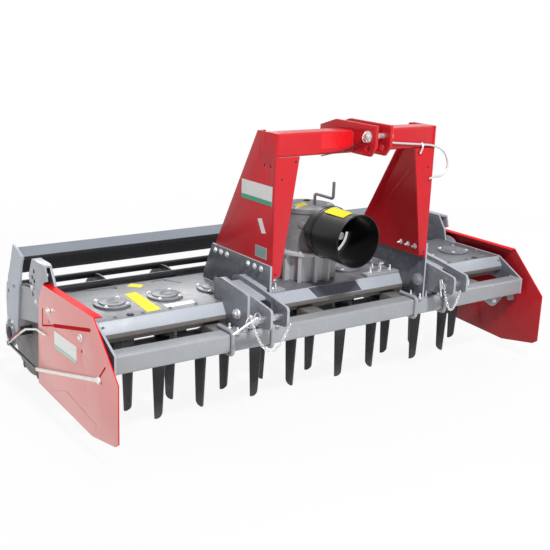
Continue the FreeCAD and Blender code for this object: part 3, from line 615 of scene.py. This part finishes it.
def copies(name, item, places, finish="zinc", body="frame"):
    """places: (point, Euler turn, size in mm); item: a mesh for one millimetre of size."""
    mesh = bpy.data.meshes.new(name)
    mesh.from_pydata([point for point, _, _ in places], [], [])
    mesh.attributes.new("turn", "FLOAT_VECTOR", "POINT")
    mesh.attributes.new("size", "FLOAT", "POINT")
    for i, (_, euler, scale) in enumerate(places):
        mesh.attributes["turn"].data[i].vector = euler
        mesh.attributes["size"].data[i].value = scale * MM
    thing, model = linked(name, mesh), linked(name + "_item", item)
    modifier = thing.modifiers.new("copies", "NODES")
    modifier.node_group = COPIES
    modifier[COPIES.interface.items_tree["Item"].identifier] = model
    joined = taken(thing, model)
    joined.name = name
    joined.set_sharp_from_angle(angle=math.radians(38))
    piece(name, joined, finish, body)


def stacked(bm, sections, sides=24, turn=Matrix()):
    """A turned stack of (radius, height) rings along Z, capped at both ends."""
    angles = [2 * math.pi * i / sides for i in range(sides)]
    rings = []
    for radius, z in sections:
        spots = [Vector((radius * math.cos(a), radius * math.sin(a), z)) for a in angles]
        rings.append([bm.verts.new(turn @ spot) for spot in spots])
    for low, high in zip(rings, rings[1:]):
        for i in range(sides):
            bm.faces.new((low[i], low[(i + 1) % sides], high[(i + 1) % sides], high[i]))
    bm.faces.new(rings[0][::-1])
    bm.faces.new(rings[-1])


def turned_part(bm, sections, sides, place, direction):
    """A stack in millimetres that stands at a drawing point, along a direction."""
    stacked(bm, [(r * MM, h * MM) for r, h in sections], sides, standing(place, direction))


# The fasteners below have a washer or flange one unit in radius.
WASHER = [(0.94, 0), (1, 0.05), (1, 0.12), (0.93, 0.17)]


def hex_bolt(bm):
    stacked(bm, WASHER)
    stacked(bm, [(0.66, 0.15), (0.68, 0.2), (0.68, 0.5), (0.58, 0.6)], 6)
    stacked(bm, [(0.45, 0.58), (0.43, 0.63), (0.3, 0.66)], 12)


def flange_bolt(bm):
    stacked(bm, [(0.95, 0), (1, 0.06), (0.98, 0.12), (0.84, 0.2)])
    stacked(bm, [(0.86, 0.16), (0.88, 0.22), (0.88, 0.62), (0.76, 0.74)], 6)
    stacked(bm, [(0.5, 0.7), (0.48, 0.8), (0.36, 0.84)], 16)


def nut_on_stud(bm):
    stacked(bm, WASHER)
    stacked(bm, [(0.64, 0.15), (0.7, 0.22), (0.7, 0.66), (0.62, 0.74)], 6)
    thread = [(0.36 + 0.04 * (i % 2), 0.7 + 0.09 * i) for i in range(14)]
    stacked(bm, thread + [(0.28, 2.0)], 12)


def round_plug(bm):
    stacked(bm, [(1, 0), (1, 0.15), (0.92, 0.24), (0.6, 0.3), (0.3, 0.33)])


def fixed(name, build, places, finish="zinc", body="frame"):
    """places: ((x, y, z), direction, washer radius), each bolt turned a little differently."""
    turned = []
    for i, (point, direction, size) in enumerate(places):
        turn = way(*direction).to_track_quat("Z", "Y") @ Quaternion((0, 0, 1), 0.7 * i)
        turned.append((at(*point), turn.to_euler(), size))
    copies(name, mesh_of(build, "item"), turned, finish, body)


def mirrored(side, places):
    """Places given for the right, as they are on a side."""
    return [((side * x, y, z), (side * d[0], d[1], d[2]), size) for (x, y, z), d, size in places]


def both(places):
    """Each place and its mirror across the machine's middle."""
    return [mirrored(side, [place])[0] for place in places for side, _ in SIDES]


# ---- Rods, chains, welds and films ----

def sweep(bm, line, radius, sides=10, closed=False):
    """A round bar along points in metres; radius in metres, or one for each point."""
    count = len(line)
    radii = radius if isinstance(radius, list) else [radius] * count
    rings, up = [], None
    for i, point in enumerate(line):
        before = line[i - 1] if i or closed else point
        after = line[(i + 1) % count] if i < count - 1 or closed else point
        along = (after - before).normalized()
        if up is None:
            up = along.orthogonal()
        up = (up - along * up.dot(along)).normalized()
        across = along.cross(up)
        rings.append([bm.verts.new(point + (up * math.cos(a) + across * math.sin(a)) * radii[i])
                      for a in (2 * math.pi * k / sides for k in range(sides))])
    for low, high in zip(rings, rings[1:]):
        for k in range(sides):
            bm.faces.new((low[k], low[(k + 1) % sides], high[(k + 1) % sides], high[k]))
    if closed:
        first, last = rings[0], rings[-1]
        shift = min(range(sides), key=lambda k: (last[0].co - first[k].co).length)
        for k in range(sides):
            a, b = (k + shift) % sides, (k + 1 + shift) % sides
            bm.faces.new((last[k], last[(k + 1) % sides], first[b], first[a]))
    else:
        bm.faces.new(rings[0][::-1])
        bm.faces.new(rings[-1])


def spline(points):
    """Points in metres along a smooth curve near the given drawing points."""
    curve = bpy.data.curves.new("path", "CURVE")
    curve.dimensions = "3D"
    curve.resolution_u = 8
    line = curve.splines.new("NURBS")
    line.points.add(len(points) - 1)
    for knot, place in zip(line.points, points):
        knot.co = (*at(*place), 1)
    line.order_u = 3
    line.use_endpoint_u = True
    mesh = taken(linked("path", curve))
    found = [v.co.copy() for v in mesh.vertices]
    bpy.data.meshes.remove(mesh)
    return found


def rods(name, paths, finish, sides=10):
    """Round bars along paths: (drawing points, radius in millimetres)."""
    def build(bm):
        for points, radius in paths:
            sweep(bm, spline(points), radius * MM, sides)
    made(name, build, finish)


def chain_link(bm):
    """Two straight sides and two round ends, one millimetre of half length."""
    half, bend = 0.42, 0.36
    line = []
    for side in (1, -1):
        for k in range(9):
            a = math.pi / 2 - math.pi * k / 8
            line.append(Vector((half + bend * math.cos(a), bend * math.sin(a), 0)) * side)
    sweep(bm, line, 0.19, 8, closed=True)


def hung(start, end, sag, pitch):
    """Even places and directions along a chain hung between two drawing points."""
    fine, steps = [], 240
    for i in range(steps + 1):
        t = i / steps
        point = Vector(start).lerp(Vector(end), t)
        point.z -= 4 * sag * t * (1 - t)
        fine.append(at(*point))
    places, left = [], pitch * MM / 2  # metres left to the next place
    for a, b in zip(fine, fine[1:]):
        step = (b - a).length
        while left <= step:
            places.append((a.lerp(b, left / step), (b - a).normalized()))
            left += pitch * MM
        left -= step
    return places


def chain(name, start, end, sag, size):
    """Links of a half length, size, each a quarter turn from the one before."""
    places = []
    for i, (point, along) in enumerate(hung(start, end, sag, size * 1.28)):
        turn = along.to_track_quat("X", "Z") @ Quaternion((1, 0, 0), math.pi / 2 * (i % 2) + 0.4)
        places.append((point, turn.to_euler(), size))
    copies(name, mesh_of(chain_link, "link", 180), places)


def weld_beads(name, runs, finish):
    """A rippled bead along each run: (drawing start, drawing end, radius in millimetres)."""
    def build(bm):
        for start, end, radius in runs:
            a, b = at(*start), at(*end)
            count = max(6, int((b - a).length / MM / 2.6))
            ripples = [1 + 0.16 * math.sin(i * 1.9) + 0.07 * math.sin(i * 0.37) for i in range(count + 1)]
            ripples[0] = ripples[-1] = 0.55
            line = [a.lerp(b, i / count) for i in range(count + 1)]
            sweep(bm, line, [radius * MM * ripple for ripple in ripples], 7)
    made(name, build, finish, smooth=60)


def film(name, place, cells, finish):
    """A thin sheet over a surface: place(u, v) gives a drawing point and the outward direction."""
    across, along = cells

    def build(bm):
        layers = []
        for lift in (0.15, 0.6):
            grid = []
            for j in range(along + 1):
                row = []
                for i in range(across + 1):
                    point, out = place(i / across, j / along)
                    row.append(bm.verts.new(at(*point) + way(*out) * lift * MM))
                grid.append(row)
            layers.append(grid)
        low, high = layers
        for j in range(along):
            for i in range(across):
                for grid in layers:
                    bm.faces.new((grid[j][i], grid[j][i + 1], grid[j + 1][i + 1], grid[j + 1][i]))
        rim = ([(0, i) for i in range(across)] + [(j, across) for j in range(along)]
               + [(along, i) for i in range(across, 0, -1)] + [(j, 0) for j in range(along, 0, -1)])
        for (j, i), (k, m) in zip(rim, rim[1:] + rim[:1]):
            bm.faces.new((low[j][i], low[k][m], high[k][m], high[j][i]))
    made(name, build, finish)


def flat_film(name, corner, side, rise, out, finish):
    """A rectangle from a corner along two drawing vectors."""
    def place(u, v):
        return tuple(c + u * s + v * r for c, s, r in zip(corner, side, rise)), out
    film(name, place, (6, 4), finish)


def slab(bm, outline, across, thickness):
    """A flat plate: outline in drawing points, thickness along the direction across."""
    step = way(*across) * thickness * MM
    low = [bm.verts.new(at(*point)) for point in outline]
    high = [bm.verts.new(v.co + step) for v in low]
    bm.faces.new(low)
    bm.faces.new(high)
    count = len(low)
    for i in range(count):
        bm.faces.new((low[i], low[(i + 1) % count], high[(i + 1) % count], high[i]))


def ring(bm, centre, normal, radius, wire):
    """A closed wire ring about a drawing point."""
    turn = standing(centre, normal)
    count = 28 if radius < 60 else 64
    angles = [2 * math.pi * i / count for i in range(count)]
    line = [turn @ (Vector((math.cos(a), math.sin(a), 0)) * radius * MM) for a in angles]
    sweep(bm, line, wire * MM, 8, closed=True)


# ---- Details ----

def seated(node, places, reach=30):
    """Fastener places moved along their direction on to the surface of the node."""
    mesh = nodes[node].data
    surface = BVHTree.FromPolygons([v.co for v in mesh.vertices], [p.vertices for p in mesh.polygons])
    found = []
    for point, direction, size in places:
        out, start = way(*direction), at(*point)
        spot = surface.ray_cast(start + out * reach * MM, -out, 2 * reach * MM)[0]
        if spot is None:
            print("no surface of", node, "under", point, direction)
            continue
        found.append((tuple(on_drawing(spot)), direction, size))
    return found


def lid_fasteners():
    covers = [((x + dx, ROTOR_LINE + dy, COVER_BOLT_SEAT), UPWARD, 10) for x in ROTORS if x
              for dx in (-50, 50) for dy in (-50, 50)]
    fixed("cover_bolts", hex_bolt, covers)
    front = [(x + dx, 193) for x in ROTORS for dx in (-62, 62) if abs(x + dx) > 250]
    rear = [(x + 125, 575) for x in ROTORS[:-1]] + [(-1120, 575)]
    bolts = [((x, y, LID_TOP), UPWARD, 10) for x, y in front + rear]
    bolts += both([((1136, 152, 510), UPWARD, 8), ((1125, 300, LID_TOP), UPWARD, 9),
                   ((1125, 470, LID_TOP), UPWARD, 9)])
    fixed("lid_bolts", hex_bolt, seated("trough_lid", bolts), "cast")
    plugs = both([((996, 193, LID_TOP), UPWARD, 15)])
    fixed("filler_plugs", round_plug, seated("trough_lid", plugs), "rubber")
    studs = both([((375, 288, LID_TOP), UPWARD, 12), ((425, 286, LID_TOP), UPWARD, 12)])
    fixed("lid_studs", nut_on_stud, seated("trough_lid", studs))
    feet = both([((x, 190, 537), UPWARD, 13) for x in (279, 340, 403)])
    fixed("foot_bolts", nut_on_stud, seated("mast_feet", feet))


def mast_fasteners():
    plugs = [((x, -30, z), AHEAD, 5) for x, z in ((342, 1140), (425, 668), (409, 1071))]
    for side, word in SIDES:
        found = seated("upright_" + word, mirrored(side, plugs))
        fixed("upright_plugs_" + word, round_plug, found, "rubber")
    behind, ahead, height = (422, 374, 326), (157, 107, 58), 682
    bolts = [((451, y, height), OUTWARD, 14) for y in behind + ahead]
    plate_nuts = [((MAST_FACE, y, height), INWARD, 12) for y in behind]
    upright_nuts = [((433, y, height), INWARD, 12) for y in ahead]
    for side, word in SIDES:
        plate, upright = "mast_plate_" + word, "upright_" + word
        fixed("mast_bolts_" + word, hex_bolt, seated(plate, mirrored(side, bolts)))
        nuts = seated(upright, mirrored(side, upright_nuts), 12)
        nuts += seated(plate, mirrored(side, plate_nuts))
        fixed("mast_nuts_" + word, nut_on_stud, nuts)
        big = mirrored(side, [((MAST_FACE, 26, 526), INWARD, 31)])
        fixed("bracket_bolts_" + word, flange_bolt, seated(plate, big), "cast")
        doubler = mirrored(side, [((573, 45, 506), OUTWARD, 23)])
        fixed("doubler_bolts_" + word, flange_bolt, seated("hitch_bracket_" + word, doubler, 60))


def clamp_fasteners():
    studs = [((x, y, BEAM_TOP), UPWARD, 14) for x in (-601, -400, 431, 624) for y in (-2, 60)]
    fixed("clamp_studs", nut_on_stud, studs)


def side_fasteners():
    for side, word in SIDES:
        def bolted(name, node, places, body="frame"):
            on_side = mirrored(side, [((x, y, z), OUTWARD, size) for x, y, z, size in places])
            fixed(name + word, hex_bolt, seated(node + word, on_side), body=body)
        bolted("side_plate_bolts_", "side_plate_", [(SIDE_FACE, 545, 474, 17), (SIDE_FACE, 219, 454, 17)])
        ends = [(1162, y, z, 12) for y, z in ((120, 470), (330, 495), (470, 495), (640, 600))]
        bolted("end_plate_bolts_", "end_plate_", ends)
        bolted("sector_bolt_", "depth_sector_", [(1192, 700, 470, 13)])
        hub = [(1191, 1010, 285, 11), (1191, 1070, 285, 11)]
        bolted("roller_end_bolts_", "roller_end_", hub, "roller_frame")


def around(count, first, radius, height, size):
    """Places on a circle about the gearbox's axis, from a first angle in degrees."""
    angles = [math.radians(first + 360 / count * i) for i in range(count)]
    return [((radius * math.cos(a), ROTOR_LINE + radius * math.sin(a), height), UPWARD, size)
            for a in angles]


def gearbox_fasteners():
    fixed("gearbox_flange_bolts", hex_bolt, seated("gearbox_base", around(12, 15, 148, 667, 11)))
    lid = around(6, 30, 108, GEARBOX_TOP, 10)
    fixed("gearbox_lid_bolts", hex_bolt, seated("gearbox_housing", lid))
    sight = both([((118, 235, 793), (0.71, -0.71, 0), 17)])
    fixed("gearbox_side_plugs", round_plug, seated("gearbox_housing", sight, 60), "cast")
    filler = [((58, 430, GEARBOX_TOP), UPWARD, 17)]
    fixed("gearbox_plugs", round_plug, seated("gearbox_housing", filler), "rubber")


def label_on_top(name, corners, finish, height=LID_TOP):
    """A level four-sided label: near left, near right, far right and far left corners."""
    near_left, near_right, far_right, far_left = (Vector((x, y, height)) for x, y in corners)

    def place(u, v):
        return near_left.lerp(far_left, v).lerp(near_right.lerp(far_right, v), u), UPWARD
    film(name, place, (4, 4), finish)


def labels():
    label_on_top("label_lid_large", ((-918, 193), (-849, 198), (-831, 466), (-888, 460)), "yellow")
    label_on_top("label_lid_small", ((-828, 560), (-791, 590), (-750, 548), (-782, 515)), "yellow")
    label_on_top("label_lid_strip", ((-817, 203), (-682, 209), (-672, 250), (-816, 247)), "white")
    label_on_top("label_gearbox_lid", ((-88, 302), (-4, 337), (21, 402), (-64, 365)), "yellow",
                 GEARBOX_TOP)

    def round_guard(u, v):
        a = math.radians(120 - 28 * u)
        x, z = math.cos(a), math.sin(a)
        return (GUARD_RADIUS * x, 8 + 137 * v, SHAFT_HEIGHT + GUARD_RADIUS * z), (x, 0, z)
    film("label_guard", round_guard, (10, 4), "yellow")

    # A glowing white strip inside the guard's rear: painted light.
    def guard_glow_place(u, v):
        a, radius = math.radians(-5 - 53 * u), 97 + 16 * v
        return (radius * math.cos(a), 173, SHAFT_HEIGHT + radius * math.sin(a)), AHEAD
    film("guard_lining_strip", guard_glow_place, (16, 1), "glowing_strip")

    # name; X, Y and Z of a corner; (Y, Z) of two sides; finish
    upright = (("label_upright_", MAST_FACE, 12, 957, (228, 0), (0, 81), "white"),
               ("label_upright_band_", MAST_FACE + 0.8, 12, 957, (228, 0), (0, 19), "green"),
               ("label_upright_strip_", MAST_FACE, 48, 836, (30, -6), (34, 58), "white"),
               ("data_tag_border_", MAST_FACE, 36, 724, (86, 0), (0, 50), "pale"),
               ("data_tag_", MAST_FACE + 0.7, 42, 729, (74, 0), (0, 40), "tag"))
    plate = (("label_side_plate_", SIDE_FACE, 262, 326, (228, 0), (0, 76), "white"),
             ("label_side_band_", SIDE_FACE + 0.8, 262, 326, (228, 0), (0, 16), "pale_green"))
    for side, word in SIDES:
        for name, x, y, z, along, up, finish in upright + plate:
            flat_film(name + word, (side * x, y, z), (0, *along), (0, *up), (side, 0, 0), finish)
    flat_film("label_cross_beam", (-216, CROSS_FACE, 1186), (168, 0, 0), (0, 0, 66), AHEAD, "patch")


def paint_guard_shadow():
    """The shaft guard's shadow and reflection on the lid's front slope, painted as a dark film below the
    guard.
    """
    def place(u, v):
        down = 0.05 + 0.9 * v
        left, right = -115 + 39 * down, 162 + 23 * down
        point = (left + (right - left) * u, SLOPE_TOP - SLOPE_DEPTH * down, LID_TOP - SLOPE_FALL * down)
        return point, (0, -SLOPE_FALL, SLOPE_DEPTH)
    film("lid_slope_panel", place, (4, 1), "guard_shadow")


def beam_end_lugs():
    """A bolted lug and the end plate's foot, both under the right end of the beam."""
    lug = ((920, BEAM_FOOT), (944, 334), (976, 312), (988, 306), (1008, 306), (1020, 312), (1052, 334),
           (1076, BEAM_FOOT))
    foot = ((1104, BEAM_FOOT), (1104, 330), (1116, 318), (1152, 318), (1152, BEAM_FOOT))

    def build(bm):
        for outline in (lug, foot):
            slab(bm, [(x, 34, z) for x, z in outline], REARWARD, 10)
    made("beam_end_lugs", build, "cast", smooth=30, broken=1.5)
    fixed("beam_end_lug_bolt", flange_bolt, [((998, 34, 335), AHEAD, 12)])


def lynch_pin(bm, place, down, width, wire_radius):
    """A tapered pin through another, with its spring ring over the end."""
    profile = [(0.2, -3.2), (0.8, -3.0), (0.8, -1.9), (0.5, -1.8), (0.5, 2.2), (0.3, 2.8), (0.1, 3.0)]
    turned_part(bm, [(r * width, h * width) for r, h in profile], 14, place, down)
    middle = tuple(c + d * width * 0.4 for c, d in zip(place, down))
    ring(bm, middle, REARWARD, wire_radius, 2.2)


def hitch_hardware():
    """Clips, washers, rings and handles of the two lower hitch pins, and their chains."""
    for side, word in SIDES:
        def build(bm):
            lynch_pin(bm, (side * 612, -115, 525), (0.15, 0.2, -1), 9, 24)
            washer = [(15, 0), (21, 1), (21, 4), (15, 5)]
            turned_part(bm, washer, 28, (side * 592, -115, 525), (side, 0, 0))
        made("hitch_lynch_pin_" + word, build, "zinc")
    chain("hitch_chain_left", (-614, -130, 520), (-470, -186, 512), 118, 11)
    chain("hitch_chain_right", (458, -125, 540), (530, -160, 498), 105, 11)
    pins = [([(-588, -124, 540), (-640, -126, 518), (-706, -128, 488)], 4.5),
            ([(452, -104, 552), (452, -115, 500), (452, -120, 478)], 4.5)]
    rods("hitch_pin_handles", pins, "zinc")

    def loops(bm):
        ring(bm, (-588, -124, 540), (0.3, -1, 0.2), 19, 2.4)
        ring(bm, (454, -112, 538), (1, -0.6, 0.1), 21, 2.4)
    made("hitch_pin_rings", loops, "zinc")


def headstock_hardware():
    """The top pin's clip and washers, its keeper rod and its tether."""
    def build(bm):
        lynch_pin(bm, (-60, -108, 1242), (0.1, -0.2, -1), 7, 19)
        for x in (-49, 49):
            turned_part(bm, [(19, -2), (25, -1), (25, 3), (19, 4)], 28, (x, -108, 1242), (x, 0, 0))
    made("top_pin_clip", build, "zinc")
    rod = [(66, -104, 1232), (120, -40, 1205), (178, -16, 1193), (300, -16, 1183), (435, -16, 1171),
           (500, -16, 1140), (529, -16, 1087), (522, -16, 1045), (480, -16, 1022), (442, -16, 1027),
           (413, -16, 1017)]
    rods("top_pin_retaining_rod", [(rod, 5.0)], "zinc")
    clip = [(353, -14, 1184), (353, -22, 1176), (350, -24, 1160), (345, -16, 1137)]
    rods("retaining_rod_clip", [(clip, 5.0)], "zinc")
    wires = [([(-216, -12, 1158), (-95, -14, 1172), (-60, -30, 1192), (-52, -100, 1225)], 2.2),
             ([(-95, -14, 1168), (-32, -16, 1193), (6, -40, 1199)], 2.2)]
    rods("top_pin_tether", wires, "rubber")


def roller_bearings():
    """Flanged bearing housings on the roller's end plates."""
    low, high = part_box("roller_shaft")
    _, y, z = on_drawing((low + high) / 2)

    def build(bm):
        profile = [(62, -1), (62, 2), (59, 4), (46, 4), (44, 7), (34, 7.5), (31, 5), (14, 5)]
        for side, _ in SIDES:
            turned_part(bm, profile, 36, (side * 1191, y, z), (side, 0, 0))
    made("roller_bearing_flanges", build, "cast", "roller_frame")
    cap = [((1195, y, z), OUTWARD, 30)]
    fixed("roller_bearing_caps", round_plug, both(cap), "rubber", "roller_frame")
    bolts = [((1194.5, y + dy, z + dz), OUTWARD, 8) for dy, dz in ((38, 38), (38, -38), (-38, 38))]
    fixed("roller_bearing_bolts", hex_bolt, both(bolts), "zinc", "roller_frame")


def guard_rims():
    """Rolled rims at both ends of the shaft guard, and a rivet near the front."""
    def build(bm):
        ring(bm, (0, -31, SHAFT_HEIGHT), AHEAD, GUARD_RADIUS - 1.4, 2.4)
        ring(bm, (0, 168, SHAFT_HEIGHT), AHEAD, GUARD_RADIUS + 0.2, 2.2)
    made("guard_rims", build, "guard", smooth=180)
    fixed("guard_rivet", round_plug, [((119, -8, 784), (1, 0, 0.12), 8)])


def spring_sleeves():
    line = [(1012, 193), (990, 208), (940, 243), (900, 266), (872, 281)]
    paths = [([(side * 1207, y, z) for y, z in line], 8.5) for side, _ in SIDES]
    rods("spring_sleeves", paths, "sleeve")


def bands(name, side, runs):
    """Flat dark red stripes along a side plate's creases, painted shade: (start, end, half width), the
    ends in Y and Z.
    """
    outline = ((0, -0.4), (0.03, -1), (0.97, -1), (1, -0.4), (1, 0.4), (0.97, 1), (0.03, 1), (0, 0.4))
    out = way(side, 0, 0)

    def build(bm):
        for start, end, half in runs:
            a, b = Vector((side * PRESSED_FACE, *start)), Vector((side * PRESSED_FACE, *end))
            across = (b - a).cross(out).normalized() * half
            slab(bm, [a + t * (b - a) + across * w - out * 0.5 for t, w in outline], out, 2.1)
    made(name, build, "crease_shade")


def ridges(name, side, runs):
    """Round pressed lines with tapered ends: (start, end, radius), the ends in Y and Z."""
    def build(bm):
        for start, end, radius in runs:
            a, b = at(side * PRESSED_FACE, *start), at(side * PRESSED_FACE, *end)
            line = [a.lerp(b, t) for t in (0, 0.04, 0.5, 0.96, 1)]
            sweep(bm, line, [radius * MM * f for f in (0.3, 1, 1, 1, 0.3)], 10)
    # The ridges take the outward face's pink, which is painted glare.
    made(name, build, "painted_glare", smooth=60)


def side_plate_pressings():
    creases = [((500, 421), (123, 514), 8), ((500, 421), (618, 386), 4), ((618, 385), (611, 468), 4),
               ((-6, 404), (50, 344), 4), ((50, 344), (30, 322), 4)]
    pressed = [((543, 106), (379, 168), 2.4), ((379, 168), (78, 127), 2.4), ((78, 127), (130, 70), 2.4)]
    for side, word in SIDES:
        bands("side_plate_crease_" + word, side, creases)
        ridges("side_plate_pressing_" + word, side, pressed)


def lid_sealant():
    """Beads of sealant along the back of the lid, the same on both halves."""
    outer = [(-1083, 592), (-1034, 596), (-982, 572), (-960, 579), (-890, 575), (-882, 545)]
    inner = [(-698, 574), (-662, 580), (-613, 575), (-618, 545), (-585, 500)]
    paths = [([(turn * x, y, LID_TOP) for x, y in line], 1.6)
             for turn in (1, -1) for line in (outer, inner)]
    rods("lid_sealant", paths, "rubber", sides=8)


def cover_caps():
    """A low round cap in the middle of each bearing cover."""
    def build(bm):
        profile = [(30, -3), (30, 1), (28, 2), (20, 2), (18, 0.5)]
        for x in ROTORS:
            if x:
                turned_part(bm, profile, 36, (x, ROTOR_LINE, COVER_CAP_SEAT), UPWARD)
    made("cover_centre_caps", build, "lid")


def welds():
    """Upright beads on the mast, and level ones where plates stand on the beam and the lid."""
    upright = ((MAST_FACE, 89, 1163, 1250, 4), (47, CROSS_FACE, 1170, 1250, 5),
               (433, CROSS_FACE, 1162, 1255, 3.5))
    level = ((451, 5, 75, 438), (1150, 2, 78, 437), (453, 215, 520, 526), (574, 2, 78, 438),
             (467, 2, 78, 438), (439, 215, 520, 526))
    mast, base = [], []
    for side, _ in SIDES:
        mast += [((side * x, y, low), (side * x, y, high), radius) for x, y, low, high, radius in upright]
        base += [((side * x, front, z), (side * x, back, z), 4) for x, front, back, z in level]
    weld_beads("weld_beads_mast", mast, "red")
    weld_beads("weld_beads_frame", base, "grey")


make_camera()
dress_frame()
lid_fasteners()
mast_fasteners()
clamp_fasteners()
side_fasteners()
gearbox_fasteners()
labels()
paint_guard_shadow()
beam_end_lugs()
hitch_hardware()
headstock_hardware()
side_plate_pressings()
roller_bearings()
guard_rims()
spring_sleeves()
lid_sealant()
cover_caps()
welds()


# ---- Floor, world and lamps ----

def make_floor():
    """A disc just below the machine: white to look at, and matt grey to the light."""
    s = Shader("floor")
    fading = s.add("ShaderNodeVectorMath", {"operation": "LENGTH"}, {0: s.where()}, 1).spread(2.2, 5.0)
    white = s.add("ShaderNodeEmission", {}, {"Color": (1, 1, 1), "Strength": 1.0})
    matt = s.add("ShaderNodeBsdfDiffuse", {}, {"Color": (0.8, 0.8, 0.8)})
    mix = s.seen() * (fading * 0.09 + 0.91)
    bm = bmesh.new()
    lowered = Matrix.Translation((0, 0, -0.001))
    bmesh.ops.create_circle(bm, cap_ends=True, segments=96, radius=40, matrix=lowered)
    mesh = poured(bm, "floor")
    mesh.materials.append(s.shown_as(s.add("ShaderNodeMixShader", {}, {0: mix, 1: matt, 2: white})))
    linked("floor", mesh)


def make_world():
    """White to look at, and dim as a light."""
    world = bpy.data.worlds.new("world")
    bpy.context.scene.world = world
    s = Shader("world", world)
    strength = s.add("ShaderNodeMapRange", {}, {0: s.seen(), "To Min": 0.22})
    s.shown_as(s.add("ShaderNodeBackground", {}, {"Color": (1, 1, 1), "Strength": strength}))


make_floor()
make_world()
lamp("key", (-1.0, -4.4, 5.0), (0, 0, 0.5), (0.6, 0.6), 325)
lamp("front_fill", (-0.5, -6.0, 1.2), (0, 0, 0.6), (3.0, 1.5), 28)
lamp("left", (-3.0, 0.2, 0.7), (-1.0, 0.2, 0.4), (1.5, 1.0), 14)
lamp("overhead", (0, 0.8, 5.0), (0, 0, 0.5), (2.5, 2.5), 40)
lamp("rear", (1.5, 5.5, 3.5), (0, 0, 0.4), (2.5, 2.0), 120)
lamp("right", (4.0, 0.3, 1.5), (0.8, 0.2, 0.5), (1.5, 1.5), 40)
bpy.context.scene.view_settings.view_transform = "Standard"
